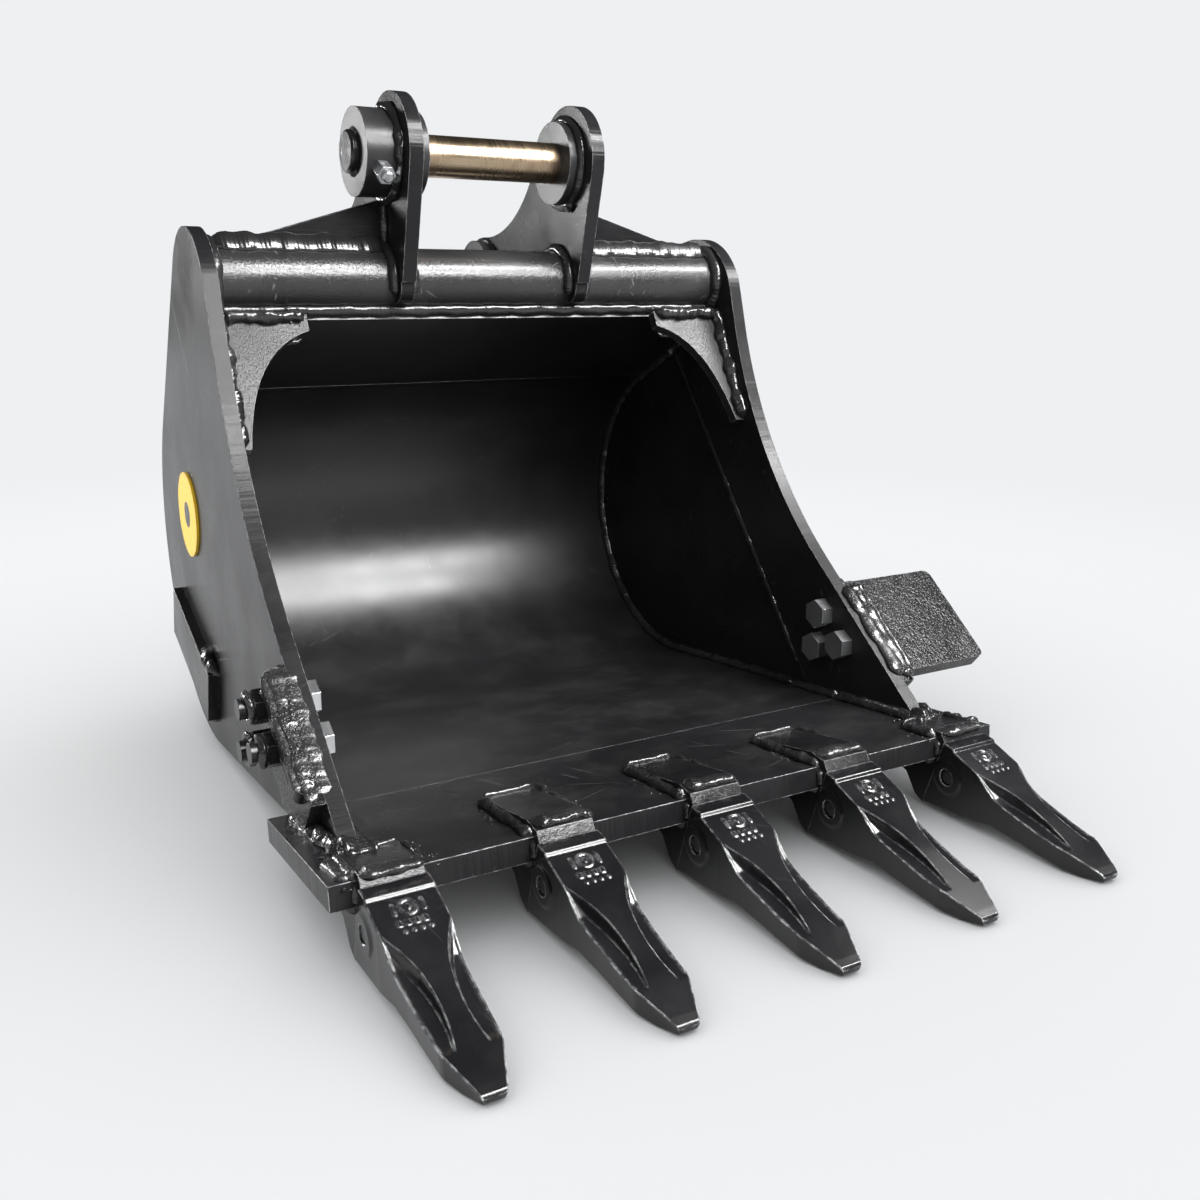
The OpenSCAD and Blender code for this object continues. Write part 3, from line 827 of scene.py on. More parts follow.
@dataclass
class Fabrication:
    """Every weld of the bucket, laid where its plates meet."""

    plan: Plan
    paint: bpy.types.Material
    rough_paint: bpy.types.Material

    def shell_curve(self, count: int = 160) -> tuple[Array, Array]:
        """The inside of floor, roll and back plate behind the seam, with its inward directions."""
        p = self.plan
        t = np.linspace(0, 1, 30)[:, None]
        start = np.array(
            [284.0, p.floor_tan[1] + (p.floor_tan[0] - 284.0) * math.tan(math.radians(p.floor_a))]
        )
        ground = start + t * (p.floor_tan - start)
        ang = np.radians(np.linspace(-90 - p.floor_a, p.roll_top, count))
        radial = np.stack([np.cos(ang), np.sin(ang)], -1)
        stop = np.array([572.0, 457.5])
        plate = p.roll_end + t * (stop - p.roll_end)
        points = np.concatenate([ground, (p.roll_c + p.shell_r * radial)[1:], plate[1:]])
        inward = np.concatenate(
            [np.tile(p.floor_up, (30, 1)), -radial[1:], np.tile(-p.plate_up, (29, 1))]
        )
        return points, inward

    def tube_welds(self) -> None:
        """Back plate to torque tube, and the tube's ends to the side bars."""
        p = self.plan
        w = WeldSet("weld_tube", 11)
        root = p.plate_end + p.shell_t * p.plate_up
        w.course(-313, 313, root, -p.plate_up, p.plate_run, 8.5)
        behind = root - 15 * p.plate_run + 0.5 * p.plate_up
        w.course(-313, 313, behind, -p.plate_run, 0.9 * p.plate_up - 0.45 * p.plate_run, 11)
        for s in (-1, 1):
            w.round(s * p.inner_w, p.tube_c, p.tube_r, -s, 9, grow=1.1, first=-60, last=300)
        w.finish(self.paint, "enamel_plate")

    def ear_welds(self) -> None:
        """Ears to the tube, the back plate and the roll, and boss discs and collars to ears."""
        p = self.plan
        w = WeldSet("weld_ears", 23)
        for x, s in ((-p.ear_out, -1), (-p.ear_in, 1), (p.ear_in, -1), (p.ear_out, 1)):
            w.round(x, p.tube_c, p.tube_r, s, 7.5, grow=1.3, first=208, last=-14, count=90)
            low = p.plate_end + p.shell_t * p.plate_up - 24 * p.plate_run
            high = p.roll_end + p.shell_t * p.plate_up
            w.seam(x, low, high, p.plate_up, s, 8)
            w.round(x, p.roll_c, p.shell_r + p.shell_t, s, 8, first=p.roll_top, last=43, count=40)
        for s in (-1, 1):
            for centre, size in ((p.pin_c, 6.5), (LINK_PIN, 3.8)):
                w.round(s * p.ear_in, centre, p.boss_r, -s, size)
        for centre, size in ((p.pin_c, 7.0), (LINK_PIN, 3.8)):
            w.round(-p.ear_out, centre, p.boss_r, -1, size, MESSY, 0.8)
        drip = p.pin_c + p.boss_r * turn(-112)
        path = side_line(p.ear_in - 3, drip, drip + np.array([-1.0, -13.0]), 20)
        w.bead(path, (0, -0.9, 0.1), (-0.4, 0.9, 0), 8, MESSY)
        w.finish(self.paint, "enamel_ear")

    def gusset_welds(self) -> None:
        """Feet and edges of the two gussets on the tube, and the corner gussets' edges."""
        p = self.plan
        w = WeldSet("weld_gussets", 37)
        rise = math.sqrt(p.tube_r**2 - 36)
        for s in (-1, 1):
            for face in (-1, 1):
                foot = p.tube_c + np.array([6.0 * face, rise])
                path = cross_line(s * (p.ear_out + 1), s * 312, foot, 80)
                w.bead(
                    path, across(np.array([face, -0.45])), (0, 0, 1), 14 if face < 0 else 8, grow=0.5
                )
                post = side_line(s * p.ear_out, foot, np.array([foot[0], 628.0]), 40)
                w.bead(post, (0, face, 0), (s, 0, 0), 6.5)
            w.bead(
                cross_line(s * 300, s * 325, p.tube_c + np.array([0.0, 36.5]), 16), (0, -0.9, -0.1),
                (0, 0.9, -0.1), 8, MESSY, 1.3,
            )
            up = turn(90 - p.corner_lean)
            front = np.array([-up[1], up[0]])
            top = np.array([476.0, 505.0])
            for face in (-1, 1):
                start, stop = top + 6 * face * front - 150 * up, top + 6 * face * front + (
                    2 if face > 0 else -24
                ) * up
                edge = side_line(s * p.inner_w, start, stop, 70)
                w.bead(edge, across(face * front), (-s, 0, 0), 9.5, MESSY, 0.8)
            w.course(s * 313, s * 222, top + 6 * front - 1.5 * up, -up, front, 9, MESSY, count=50)
            w.course(s * 300, s * 226, top - 6 * front - 22 * up, -up, -front, 7, count=50)
            w.spatter(
                placed(s * 228, top + 7 * front), (0.012, 0, 0), across(up) * 0.014, across(front), 14,
                1.5,
            )
        w.finish(self.paint, "enamel_plate")

    def bowl_welds(self) -> None:
        """Side plates to shell, bar to wall, the roll's seam, and the lip's seams."""
        p = self.plan
        w = WeldSet("weld_bowl", 51)
        curve, inward = self.shell_curve()
        for s in (-1, 1):
            w.bead(placed(s * p.wall_in, curve), across(inward), (-s, 0, 0), 8.5)
            low = p.seam_p + 22 * p.seam_run
            high = p.seam_p + 494 * p.seam_run
            w.seam(s * p.wall_in, low, high, p.seam_back, -s, 7.0, grow=1.25, count=90)
            ahead = np.array(
                [280.0, p.floor_tan[1] + (p.floor_tan[0] - 280.0) * math.tan(math.radians(p.floor_a))]
            )
            w.seam(s * p.inner_w, p.lip_back + 4 * p.floor_run, ahead, p.floor_up, -s, 8)
            w.seam(s * p.inner_w, np.array([570.0, 458.5]), p.plate_end, -p.plate_up, -s, 7)
        side = 0.99 * p.plate_run
        w.course(
            -316, 316, p.roll_end, side - 0.09 * p.plate_up, -side - 0.09 * p.plate_up, 4.5, GROUND, 0.4
        )
        under = p.lip_back - p.shell_t * p.floor_up
        w.course(-318, 318, under, -p.floor_up, -p.floor_run, 9)
        w.finish(self.paint, "enamel_shell")

    def lip_welds(self) -> None:
        """Side plates to the lip: inside, outside and round the front foot."""
        p = self.plan
        w = WeldSet("weld_lip", 67)
        foot = p.edge_foot
        for s in (-1, 1):
            w.seam(s * p.inner_w, foot + 2 * p.floor_run, p.lip_back, p.floor_up, -s, 9)
            w.seam(s * p.half_w, foot + 6 * p.floor_run, p.lip_back, p.floor_up, s, 10, MESSY)
            w.course(
                s * (p.inner_w - 9), s * (p.half_w + 9), foot, p.floor_run, p.edge_run, 12, MESSY,
                count=30,
            )
            w.course(
                s * (p.inner_w - 16), s * (p.half_w + 4), foot + 9 * p.floor_run,
                p.floor_run + 0.2 * p.floor_up, -p.floor_run + 0.2 * p.floor_up, 9, MESSY, count=30,
            )
            w.bead(
                side_line(s * 346, foot + 12 * p.floor_run, foot + 58 * p.floor_run, 30), (s, 0, 0.12),
                (-s, 0, 0.12), 9, MESSY, 0.9,
            )
            w.bead(
                side_line(s * 340, foot - 30 * p.floor_run, p.lip_back + 14 * p.floor_run, 30),
                (s, 0, 0.12), (-s, 0, 0.12), 7, MESSY, 0.9,
            )
            w.spatter(
                placed(s * (p.inner_w - 14), foot + 4 * p.floor_run), (0.02, 0, 0), (0, 0.03, 0),
                (0, 0, 1), 34, 1.5,
            )
            w.spatter(
                placed(s * 346, foot + 20 * p.floor_run), (0.01, 0, 0), (0, 0.05, 0), (0, 0, 1), 30, 1.3
            )
            low = p.lip_corner - p.lip_t * p.floor_up
            w.seam(s * p.half_w, low - 60 * p.floor_run, low - 180 * p.floor_run, -p.floor_up, s, 6)
        w.finish(self.rough_paint, "enamel_plate")

    def adapter_welds(self) -> None:
        """Round the straps of each tooth adapter, above and below the lip."""
        p = self.plan
        w = WeldSet("weld_adapters", 83)
        for i in range(1, 6):
            x = p.tooth_x(i)
            end = 62.0 if i in (1, 5) else 120.0
            back = p.lip_corner - (end - p.lip_front) * p.floor_run
            low = p.lip_corner - p.lip_t * p.floor_up
            low_back = p.lip_corner - 92 * p.floor_run - p.lip_t * p.floor_up
            for s in (-1, 1):
                w.seam(x + s * p.strap_half, p.lip_corner, back, p.floor_up, s, 7, MESSY, 0.9)
                w.seam(x + s * p.strap_half, low, low_back, -p.floor_up, s, 7)
                w.bead(
                    side_line(
                        x + s * p.strap_half, p.lip_corner - 2 * p.floor_up, low + 2 * p.floor_up, 20
                    ),
                    (s, 0, 0), across(p.floor_run), 4.5,
                )
                w.spatter(
                    placed(x + s * 38, 0.5 * (p.lip_corner + back)), (0.009, 0, 0),
                    across(p.floor_run) * 0.04, across(p.floor_up), 16, 1.2,
                )
            w.course(x - 28, x + 28, back, -p.floor_run, p.floor_up, 7, grow=0.7, count=30)
            crest = np.array([26.0, 91.5]) if end > 100 else np.array([16.0, 88.0])
            w.bead(
                cross_line(x - 27, x + 29, crest - np.array([8.0, 0.8]), 30), (0, 1, 0), (0, -1, 0.1),
                9, MESSY, 0.6,
            )
            w.course(x - 28, x + 28, low_back, -p.floor_run, -p.floor_up, 8, count=30)
        w.finish(self.rough_paint, "cast_adapter")

    def side_welds(self) -> None:
        """Round the side cutters' bases, the side wear plates and the heel strips."""
        p = self.plan
        w = WeldSet("weld_sides", 97)
        for s in (-1, 1):
            corners = [
                p.edge_at(152, 2), p.edge_at(156, 8), p.edge_at(156, 76), p.edge_at(144, 88),
                p.edge_at(60, 88),
            ]
            t = np.linspace(0, 1, 24)[:, None]
            path = np.concatenate([a + t * (b - a) for a, b in zip(corners[:-1], corners[1:])])
            mid = p.edge_at(84, 44)
            out = unit(path - mid)
            w.bead(placed(s * p.half_w, path), across(out), (s, 0, 0), 8, MESSY)
            w.seam(s * (p.half_w + 14), p.edge_at(28, 18), p.edge_at(152, 18), p.edge_in, s, 7, MESSY)
            low, run, up = np.array([545.0, 42.0]), turn(p.wear_rise), turn(p.wear_rise + 90)
            w.seam(
                s * p.half_w, low + p.wear_high * up - 3 * run, low + p.wear_high * up + 52 * run, up,
                s, 11, MESSY,
            )
            w.seam(s * p.half_w, low, low + p.wear_long * run, -up, s, 7)
            w.seam(s * p.half_w, low + p.wear_long * run, low + p.wear_long * run + 64 * up, run, s, 7)
            for up_edge, behind in ((141, 36.5), (94, 36.5), (118, 72)):
                w.round(
                    s * (p.half_w + 30), p.edge_at(up_edge, behind), 10.0, s, 5.5, MESSY, 1.3, count=40
                )
            front = across(-p.edge_in)
            for shift, size, first in ((0.0, 9.0, 20.0), (11.0, 8.0, 16.0), (20.0, 4.5, 28.0)):
                path = side_line(s * (p.half_w + shift), p.edge_at(first, 0), p.edge_at(150, 0))
                w.bead(path, (s, 0, 0) + 0.08 * front, (-s, 0, 0) + 0.08 * front, size, MESSY, 0.3)
            patch = placed(s * (p.half_w + 8), p.edge_at(84, -2.2))
            w.spatter(patch, (0.013, 0, 0), across(p.edge_run) * 0.07, front, 110, 1.3)
        for x in p.heel_x:
            for s in (-1, 1):
                w.round(
                    x + s * p.heel_half, p.roll_c, p.shell_r + p.shell_t, s, 7, first=-14, last=-95,
                    count=60,
                )
                low = p.floor_tan - p.shell_t * p.floor_up
                w.seam(x + s * p.heel_half, low, low + 170 * p.floor_run, -p.floor_up, s, 7)
        w.finish(self.rough_paint, "enamel_cutter")

    def build(self) -> None:
        """Lays every weld."""
        self.tube_welds()
        self.ear_welds()
        self.gusset_welds()
        self.bowl_welds()
        self.lip_welds()
        self.adapter_welds()
        self.side_welds()


# ---------------------------------------------------------------- teeth


@dataclass
class ToothPoint:
    """A cast tooth point: a wedge with two flutes, a rear rim and a boss round its pin.

    Lengths are in millimetres; y runs from the rear edge, near 0, to the tip at -186.
    """

    half: float = 29.6
    pin: tuple[float, float] = (-7.4, 44.5)
    boss_r: float = 17.0
    boss_high: float = 1.6
    columns: int = 100

    def top(self, y: Array) -> Array:
        """Height of the top face's middle line."""
        return np.interp(
            -y, [-0.5, 13.5, 14.5, 178.0, 184.8, 186.3], [79.8, 77.4, 74.6, 12.8, 9.6, 7.6]
        )

    def bottom(self, y: Array) -> Array:
        """Height of the underside."""
        return np.interp(
            -y, [-0.5, 20.0, 66.0, 128.0, 166.0, 184.0, 186.3], [5.0, 7.0, 12.5, 5.0, 0.0, 1.2, 3.6]
        )

    def width(self, y: Array) -> Array:
        """Half width in plan, with the flanks pinched in at the flutes."""
        return np.interp(
            -y, [-0.5, 40.0, 62.0, 92.0, 120.0, 146.0, 150.0, 183.0, 186.3],
            [self.half, self.half, 28.4, 26.6, 25.6, 24.2, 23.4, 11.2, 9.6],
        )

    def flute(self, x: Array, y: Array) -> Array:
        """Depth of the flutes below the top face.

        Each flute lies outside a curve that swings in from the edge to the rib and back out. Its
        wall falls on a smooth step over a width of half its depth, and its floor slopes outwards.
        """
        v = -y
        rib = np.interp(
            v, [40.0, 50.0, 60.0, 72.0, 84.0, 100.0, 116.0, 134.0, 150.0, 160.0],
            [30.5, 26.5, 21.0, 15.6, 11.8, 9.4, 8.6, 10.0, 13.0, 16.0],
        )
        deep = np.interp(
            v, [44.0, 50.0, 58.0, 68.0, 80.0, 100.0, 124.0, 142.0, 152.0],
            [0.0, 2.8, 7.2, 10.6, 10.8, 8.6, 5.4, 2.6, 0.0],
        )
        wall = 0.7 + 0.24 * deep
        t = np.clip((np.abs(x) - rib) / wall, 0, 1)
        step = t * t * (3 - 2 * t)
        beyond = np.clip(np.abs(x) - rib - wall, 0, None)
        lift = np.clip(1 - np.abs(np.abs(x) - (self.width(y) - 1.2)) / 1.6, 0, 1) * 1.1
        return step * deep + np.minimum(
            deep * 0.02 * beyond, 1.2
        ) * (deep > 0) - lift * (deep > 1.0) * (t >= 1)

    def marks(self, x: Array, y: Array) -> Array:
        """A founder's plain cast signs: a ring, a lozenge, bars and dots, raised a millimetre."""
        v = -y

        def soft(d: Array) -> Array:
            """1 inside a shape whose signed distance is d, over half a millimetre."""
            return np.clip(0.5 - d / 0.6, 0, 1)

        ring = soft(np.abs(np.hypot(x - 1.0, v - 27.0) - 6.6) - 1.1)
        dot = soft(np.abs(x - 1.0) + np.abs(v - 27.0) - 3.2)
        sides = soft(np.maximum(np.abs(np.abs(x - 1.0) - 12.0) - 1.1, np.abs(v - 27.0) - 6.0))
        bars = np.zeros_like(x)
        for c in (-11.0, -4.0, 3.0, 10.0):
            bars = np.maximum(bars, soft(np.maximum(np.abs(x - c) - 2.0, np.abs(v - 40.5) - 3.0)))
            bars = np.maximum(bars, soft(np.hypot(x - c - 2.0, v - 48.5) - 1.5))
        return 1.0 * np.maximum(np.maximum(ring, dot), np.maximum(bars, sides))

    def rings(self) -> Array:
        """Sections from the rear edge to the tip, as points in millimetres about the tooth's middle.

        A section climbs the left flank, crosses the top, goes down the right flank and back along
        the underside, with a quarter round at each corner. Near the rear, it leans back with the
        skirt; near the pin, the flanks stand out by the boss's height.
        """
        stretches = ((-0.5, 18, 24), (18.5, 60, 56), (60.8, 178, 110), (178.6, 186.2, 20))
        v = np.concatenate([np.linspace(*stretch) for stretch in stretches])
        y0 = -v[:, None]
        half, top, low = self.width(y0), self.top(y0), self.bottom(y0)
        round_top = np.interp(v, [0, 38, 54, 190], [1.5, 1.4, 0.8, 0.8])[:, None]
        round_top = np.minimum(round_top, 0.32 * (top - low))
        round_low = np.minimum(2.0, 0.3 * (top - low))
        a = np.radians(np.linspace(0, 90, 6))[None, :]
        u = np.linspace(-1, 1, self.columns)[None, :]
        inner = half - round_top
        x_top = inner * u
        y_top = np.broadcast_to(y0, x_top.shape)
        z_top = top - self.flute(x_top, y_top) + self.marks(x_top, y_top) * (
            (v > 16) & (v < 52)
        )[:, None]
        edge = top - self.flute(inner, y0)
        left_x, left_z = -inner - round_top * np.cos(a), edge - round_top + round_top * np.sin(a)
        draft = 1.5
        flank = np.linspace(0, 1, 34)[None, 1:-1]
        side_low = low + round_low
        side_z = side_low + (edge - round_top - side_low) * flank
        side_x = -(half - draft * (1 - flank))
        low_x, low_z = -(half - draft) + round_low * (1 - np.cos(a)), side_low - round_low * np.sin(a)
        base_x = (half - draft - round_low) * np.linspace(1, -1, 16)[None, 1:-1]
        base_z = np.broadcast_to(low, base_x.shape)
        x = np.concatenate(
            [
                low_x[:, ::-1], side_x, left_x[:, :-1], x_top, -left_x[:, :-1][:, ::-1],
                -side_x[:, ::-1], -low_x, base_x,
            ],
            1,
        )
        z = np.concatenate(
            [
                low_z[:, ::-1], side_z, left_z[:, :-1], z_top, left_z[:, :-1][:, ::-1], side_z[:, ::-1],
                low_z, base_z,
            ],
            1,
        )
        lean = np.clip(1 - v[:, None] / 46, 0, 1)
        lean = lean * lean * (3 - 2 * lean)
        y = y0 + (top - z) * 25.5 / 75 * lean
        far = np.hypot(y - self.pin[0], z - self.pin[1])
        boss = np.clip((self.boss_r + 2.2 - far) / 2.2, 0, 1)
        boss = boss * boss * (3 - 2 * boss)
        on_flank = np.clip((np.abs(x) - (half - 2.6)) / 1.2, 0, 1)
        x = x + np.sign(x) * self.boss_high * boss * on_flank
        return np.stack([x, y, z], -1)

    def cutters(self) -> list[bpy.types.Object]:
        """The pin's hole and the socket for the adapter's nose, as closed solids."""
        t = np.linspace(0, 2 * np.pi, 48, endpoint=False)
        rim = [(self.pin[0] + 8.6 * math.cos(q), self.pin[1] + 8.6 * math.sin(q)) for q in t]
        nose = [(-84.4, 18.6), (24, 14.6), (34, 20), (12, 74), (4.0, 66.4), (-84.4, 32.4)]
        made = []
        for name, outline, half in (("pin_hole", rim, 40.0), ("socket", nose, 21.4)):
            s = Solid()
            s.tube(np.array([[(x, *at) for at in outline] for x in (-half, half)]) * MM)
            made.append(s.build(name))
        return made

    def build(self, plan: Plan, material: bpy.types.Material) -> None:
        """Makes one point, carves its holes, and sets a copy at each adapter."""
        s = Solid()
        s.tube(self.rings() * MM)
        pattern = s.build("tooth_pattern")
        tools = self.cutters()
        for tool in tools:
            cut = pattern.modifiers.new(tool.name, "BOOLEAN")
            cut.operation, cut.object, cut.solver = "DIFFERENCE", tool, "EXACT"
        graph = bpy.context.evaluated_depsgraph_get()
        carved = bpy.data.meshes.new_from_object(pattern.evaluated_get(graph))
        for obj in [pattern, *tools]:
            bpy.data.objects.remove(obj)
        co = np.empty(len(carved.vertices) * 3)
        carved.vertices.foreach_get("co", co)
        co = co.reshape(-1, 3)
        LOG.info("tooth point: %d faces", len(carved.polygons))
        for i in range(1, 6):
            mesh = carved.copy()
            mesh.name = f"tooth_point_{i}"
            offset = np.array([plan.tooth_x(i), -LINK_PIN[0], -LINK_PIN[1]]) * MM
            mesh.vertices.foreach_set("co", (co + offset).ravel())
            mesh.update()
            mesh.materials.clear()
            mesh.materials.append(material)
            obj = bpy.data.objects.new(f"tooth_point_{i}", mesh)
            bpy.context.scene.collection.objects.link(obj)
            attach(obj, BUCKET)
            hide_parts(f"tooth_{i}")


# ---------------------------------------------------------------- studio


@dataclass
class Studio:
    """The camera, the lights and the floor."""

    floor_z: float = -0.5525
    pale: tuple[float, float, float] = (0.855, 0.871, 0.888)

    def __post_init__(self) -> None:
        """Makes the group of things that only the room lights."""
        self.unlit = bpy.data.collections.new("lit_by_the_room_alone")

    def camera(self) -> None:
        """A square view from the left front, a little above."""
        data = bpy.data.cameras.new("camera")
        data.sensor_width, data.lens = 36.0, 35.364
        data.shift_x, data.shift_y = 0.0030, -0.0069
        data.clip_start, data.clip_end = 0.05, 60.0
        obj = bpy.data.objects.new("camera", data)
        obj.location = (-0.5902, -1.5285, -0.0239)
        obj.rotation_euler = (math.radians(75.82), 0.0, math.radians(-29.57))
        bpy.context.scene.collection.objects.link(obj)
        bpy.context.scene.camera = obj

    def softbox(
        self, name: str, azimuth: float, elevation: float, far: float, size: tuple[
            float, float
        ], power: float, roll: float = 0.0
    ) -> None:
        """An area light that faces the bucket from a direction.

        Args:
            name: The light's name.
            azimuth: Direction it stands in, from +Y towards +X, in degrees.
            elevation: Its height in degrees.
            far: Distance in metres.
            size: Width and height in metres.
            power: Watts.
            roll: Turn about its own axis, in degrees.
        """
        aim = np.array([0.0, -0.35, -0.2])
        az, el = math.radians(azimuth), math.radians(elevation)
        out = np.array([math.sin(az) * math.cos(el), math.cos(az) * math.cos(el), math.sin(el)])
        data = bpy.data.lights.new(name, "AREA")
        data.shape, data.size, data.size_y, data.energy = "RECTANGLE", size[0], size[1], power
        obj = bpy.data.objects.new(name, data)
        obj.location = aim + far * out
        facing = Euler(
            (math.pi / 2 - el, 0.0, math.pi - az)
        ).to_matrix() @ Matrix.Rotation(math.radians(roll), 3, "Z")
        obj.rotation_euler = facing.to_euler()
        obj.visible_camera = False
        bpy.context.scene.collection.objects.link(obj)
        obj.light_linking.receiver_collection = self.unlit

    def lights(self) -> None:
        """A soft key, a long strip over it, a window behind on the left, a faint rim and fill."""
        self.softbox("key", 163, 32, 2.6, (1.5, 0.6), 105)
        self.softbox("strip", 141, 48, 2.7, (2.4, 0.34), 170, -14)
        self.softbox("window", -40, 12, 3.0, (0.8, 0.5), 80)
        self.softbox("rim", 98, 42, 2.8, (0.5, 0.3), 3)
        self.softbox("fill", 232, 20, 2.8, (0.6, 0.6), 4)

    def surroundings(self) -> None:
        """A pale room for the eye and for soft shade, and a darker one above for reflections."""
        world = bpy.data.worlds.new("room")
        bpy.context.scene.world = world
        world.use_nodes = True
        world.node_tree.nodes.clear()
        s = Shader(world.node_tree)
        path = s.node("ShaderNodeLightPath")
        high = s.node(
            "ShaderNodeSeparateXYZ", {0: s.node("ShaderNodeTexCoord").outputs["Generated"]}
        ).outputs["Z"]
        wall = s.ramp(high, 0.0, 0.3, 0.13, 0.02)
        seen = s.node("ShaderNodeBackground", {"Color": (*self.pale, 1.0), "Strength": 1.0}).outputs[0]
        soft = s.node(
            "ShaderNodeBackground", {"Color": (1.0, 1.0, 1.0, 1.0), "Strength": 1.1}
        ).outputs[0]
        mirrored = s.node(
            "ShaderNodeBackground", {"Color": (0.97, 0.985, 1.0, 1.0), "Strength": wall}
        ).outputs[0]
        first = s.node(
            "ShaderNodeMixShader", {0: path.outputs["Is Glossy Ray"], 1: soft, 2: mirrored}
        ).outputs[0]
        both = s.node(
            "ShaderNodeMixShader", {0: path.outputs["Is Camera Ray"], 1: first, 2: seen}
        ).outputs[0]
        s.node("ShaderNodeOutputWorld", {"Surface": both})

    def floor(self) -> None:
        """A pale floor that runs out into the room's own tone."""
        mat, s = new_material("studio floor")
        where = s.node("ShaderNodeTexCoord").outputs["Object"]
        far = s.node("ShaderNodeVectorMath", {0: where}, operation="LENGTH").outputs["Value"]
        near = s.node("ShaderNodeBsdfDiffuse", {"Color": (0.836, 0.846, 0.86, 1.0)}).outputs[0]
        away = s.node("ShaderNodeEmission", {"Color": (*self.pale, 1.0), "Strength": 1.0}).outputs[0]
        both = s.node("ShaderNodeMixShader", {0: s.ramp(far, 1.0, 2.6), 1: near, 2: away}).outputs[0]
        s.node("ShaderNodeOutputMaterial", {"Surface": both})
        r, z = 14.0, self.floor_z
        points = np.array([[-r, -r, z], [r, -r, z], [r, r, z], [-r, r, z]])
        obj = make_mesh("studio_floor", points, [[0, 1, 2, 3]])
        obj.data.materials.append(mat)
        self.unlit.objects.link(obj)
        self.unlit.collection_objects[0].light_linking.link_state = "EXCLUDE"

    def build(self) -> None:
        """Sets the whole studio up."""
        self.camera()
        self.floor()
        self.lights()
        self.surroundings()
        bpy.context.scene.view_settings.view_transform = "Standard"
        bpy.context.scene.view_settings.look = "None"


# ---------------------------------------------------------------- the bucket


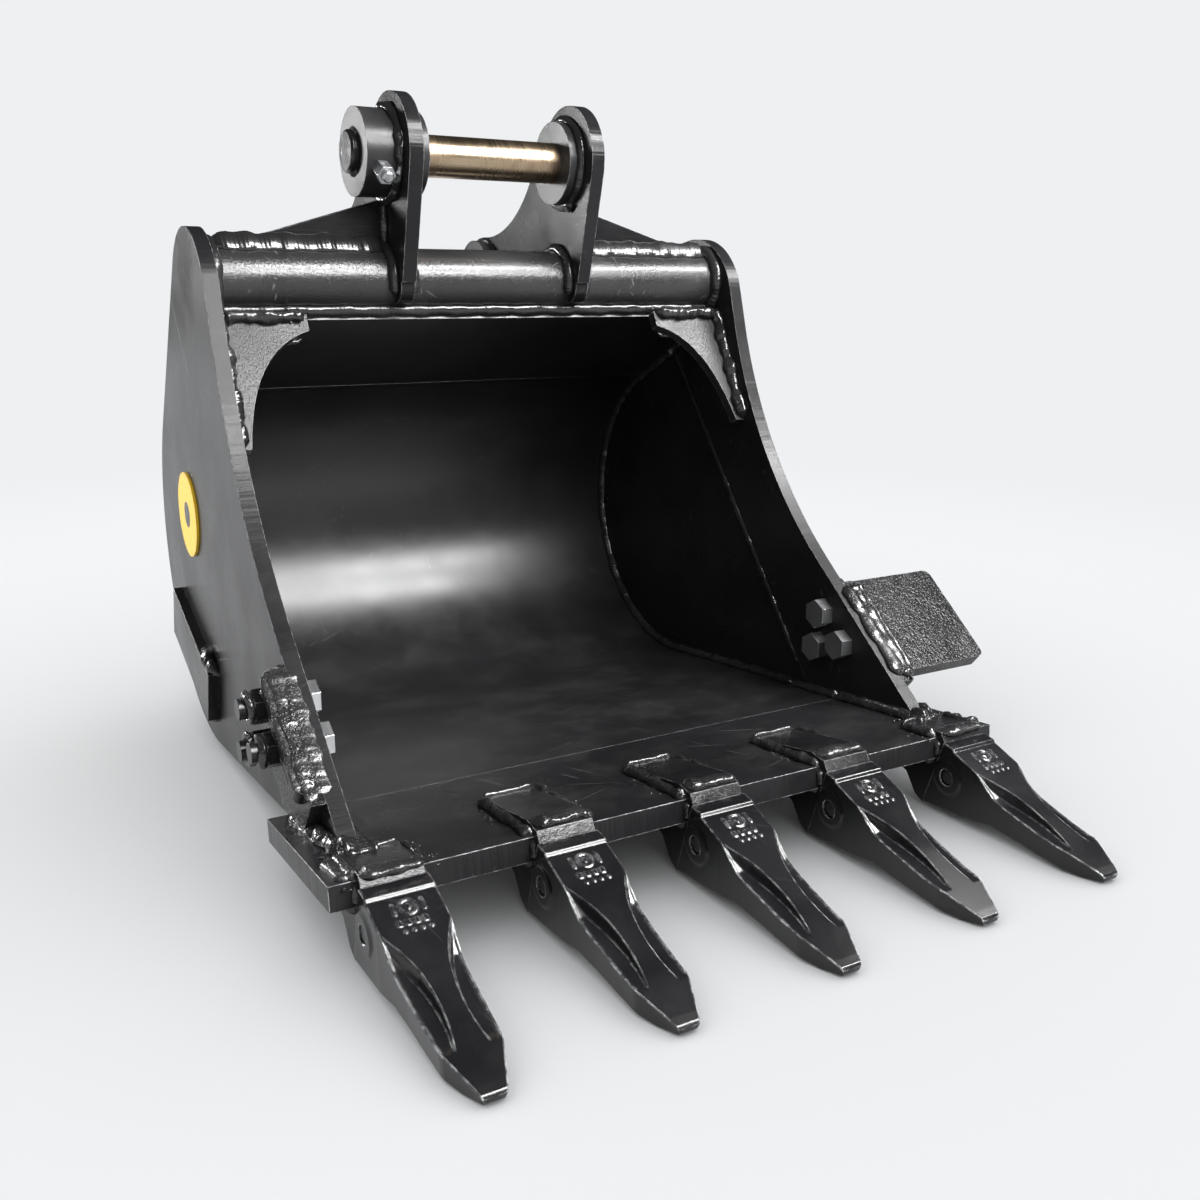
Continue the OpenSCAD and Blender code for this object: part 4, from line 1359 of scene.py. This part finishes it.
@dataclass
class Wardrobe:
    """Which finish each CAD node wears."""

    fx: Effects

    def build(self, nodes: dict[str, bpy.types.Object]) -> dict[str, bpy.types.Material]:
        """Makes the finishes and dresses the CAD nodes.

        Args:
            nodes: The CAD nodes by name.

        Returns:
            The finishes by name, for the new pieces.
        """
        kit = [
            Enamel(
                "enamel shell", rough=0.29, rough_dull=0.35, grain=0.22, waves=0.35, ior=1.5, edge=0.1
            ),
            Enamel(
                "enamel side plate", base=(0.006, 0.006, 0.0065), ior=1.28, rough=0.26, rough_dull=0.33,
                grain=0.35, waves=0.2, cut=(1, 0, 0), lines=0.3,
            ),
            Enamel(
                "enamel lip", rough=0.22, rough_dull=0.34, grain=0.5, waves=0.5,
                cut=(0, 0.0976, 0.9952), scuffs=0.25, edge=0.5,
            ),
            Enamel(
                "enamel tube", base=(0.012, 0.012, 0.0125), rough=0.24, rough_dull=0.3, grain=2.4,
                waves=0.3, grit=0.5, scuffs=0.5, ior=1.5,
            ),
            Enamel(
                "enamel ear", base=(0.006, 0.006, 0.0065), ior=1.28, rough=0.2, rough_dull=0.28,
                edge=0.3, grain=0.6, waves=0.3, cut=(1, 0, 0),
            ),
            Enamel(
                "enamel turned", base=(0.012, 0.012, 0.0125), rough=0.26, rough_dull=0.36, grain=0.9,
                waves=0.3,
            ),
            Enamel(
                "enamel gusset", base=(0.010, 0.010, 0.0105), rough=0.3, rough_dull=0.38, grain=2.2,
                waves=0.3, grit=0.6, ior=1.36, edge=0.4,
            ),
            Enamel(
                "enamel cutter", base=(0.009, 0.009, 0.0095), ior=1.25, rough=0.15, rough_dull=0.26,
                grain=3.2, waves=1.0, grit=2.0, relief=0.0014, grain_size=300.0,
            ),
            Enamel("enamel wear bar", rough=0.24, rough_dull=0.34, grain=1.0, waves=0.4, grit=0.3),
            Enamel(
                "enamel fastener", rough=0.22, rough_dull=0.32, grain=0.8, waves=0.4, round_off=0.0012
            ),
            Enamel(
                "enamel casting", base=(0.005, 0.005, 0.0055), rough=0.17, rough_dull=0.28, grain=0.9,
                waves=1.4, grit=0.3, relief=0.0007, ior=1.45, edge=0.2,
            ),
            Enamel(
                "enamel tooth", base=(0.004, 0.004, 0.0045), rough=0.14, rough_dull=0.22, grain=0.5,
                waves=0.5, grit=0.1, relief=0.0004, round_off=0.001, scuffs=0.06, dust=0.03, ior=1.5,
                edge=1.0, edge_r=0.0019,
            ),
            Enamel(
                "enamel weld", base=(0.008, 0.008, 0.0085), rough=0.17, rough_dull=0.3, grain=0.8,
                waves=0.8, relief=0.0004, round_off=0.0003, scuffs=0.0, ior=1.6, edge=0.0,
            ),
            Enamel(
                "enamel rough weld", base=(0.008, 0.008, 0.0085), rough=0.14, rough_dull=0.3, grain=2.0,
                waves=1.6, grit=0.8, relief=0.0008, round_off=0.0003, scuffs=0.0, ior=1.6, edge=0.0,
            ),
            Steel("hardened pin", (0.44, 0.34, 0.23), (0.20, 0.13, 0.09), rough=0.22, paint_from=0.1),
            Steel(
                "zinc fastener", (0.72, 0.73, 0.75), (0.05, 0.05, 0.05), rough=0.22, marks=500.0,
                patch=0.5,
            ),
            Steel(
                "plated bolt", (0.66, 0.67, 0.68), (0.2, 0.2, 0.2), rough=0.3, marks=500.0, patch=0.3,
                paint_from=0.34,
            ),
            Steel(
                "oiled steel", (0.16, 0.16, 0.165), (0.03, 0.03, 0.03), rough=0.28, marks=600.0,
                patch=0.6,
            ),
        ]
        made = {k.name: k.build(self.fx) for k in kit}
        made["badge yellow"] = self.badge()
        wearers = {
            "enamel shell": ("shell", "back_plate"),
            "enamel side plate": ("side_wall", "side_bar"),
            "enamel lip": ("lip",),
            "enamel tube": ("torque_tube",),
            "enamel ear": ("ear", "gusset"),
            "enamel turned": ("pin_boss", "link_boss", "pin_collar", "link_collar"),
            "enamel gusset": ("corner_gusset",),
            "enamel cutter": ("side_cutter",),
            "enamel wear bar": ("side_wear", "heel_strip"),
            "enamel fastener": ("cutter_nuts",),
            "enamel casting": ("adapter",),
            "enamel tooth": ("tooth",),
            "hardened pin": ("main_pin",),
            "zinc fastener": ("keeper_bolt", "keeper_nuts"),
            "plated bolt": ("cutter_bolts",),
            "oiled steel": ("tooth_pin",),
            "badge yellow": ("badge",),
        }
        wears = {start: finish for finish, starts in wearers.items() for start in starts}
        for name, obj in nodes.items():
            key = max((k for k in wears if name.startswith(k)), key=len)
            obj.data.materials.clear()
            obj.data.materials.append(made[wears[key]])
        return made

    def badge(self) -> bpy.types.Material:
        """Gloss yellow, with a plain dark spot in its middle, and grime at its rim."""
        mat, s = new_material("badge yellow")
        where = s.node("ShaderNodeTexCoord").outputs["Object"]
        split = s.node("ShaderNodeSeparateXYZ", {0: where})
        y = s.math("ADD", split.outputs["Y"], 0.100)
        z = s.math("ADD", split.outputs["Z"], 0.276)
        far = s.math("SQRT", s.math("ADD", s.math("MULTIPLY", y, y), s.math("MULTIPLY", z, z)))
        sign = s.ramp(far, 0.0150, 0.0157, 1.0, 0.0)
        rim = s.ramp(far, 0.043, 0.050, 0.0, 0.35)
        print_ = s.noise(where, 160.0, 3.0)
        tone = s.mix(
            s.math("MULTIPLY", print_, 0.25), (0.80, 0.50, 0.012, 1.0), (0.70, 0.41, 0.01, 1.0)
        )
        tone = s.mix(sign, tone, (0.012, 0.012, 0.012, 1.0))
        tone = s.mix(s.math("MULTIPLY", rim, s.noise(where, 60.0, 5.0)), tone, (0.06, 0.05, 0.03, 1.0))
        bump = s.relief(s.math("ADD", s.noise(where, 500.0, 2.0), sign), 0.0002, 0.001)
        gloss = s.ramp(print_, 0.3, 0.7, 0.28, 0.4)
        shader = s.node(
            "ShaderNodeBsdfPrincipled", {"Base Color": tone, "Roughness": gloss, "Normal": bump}
        )
        s.node("ShaderNodeOutputMaterial", {"Surface": shader.outputs[0]})
        return mat


def main() -> None:
    """Builds the bucket's looks on its CAD frame."""
    logging.basicConfig(level=logging.INFO, format="%(message)s")
    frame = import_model()
    plan = Plan()
    Studio().build()
    finishes = Wardrobe(Effects()).build(frame["nodes"])
    Fabrication(plan, finishes["enamel weld"], finishes["enamel rough weld"]).build()
    ToothPoint().build(plan, finishes["enamel tooth"])


if __name__ == "__main__":
    main()
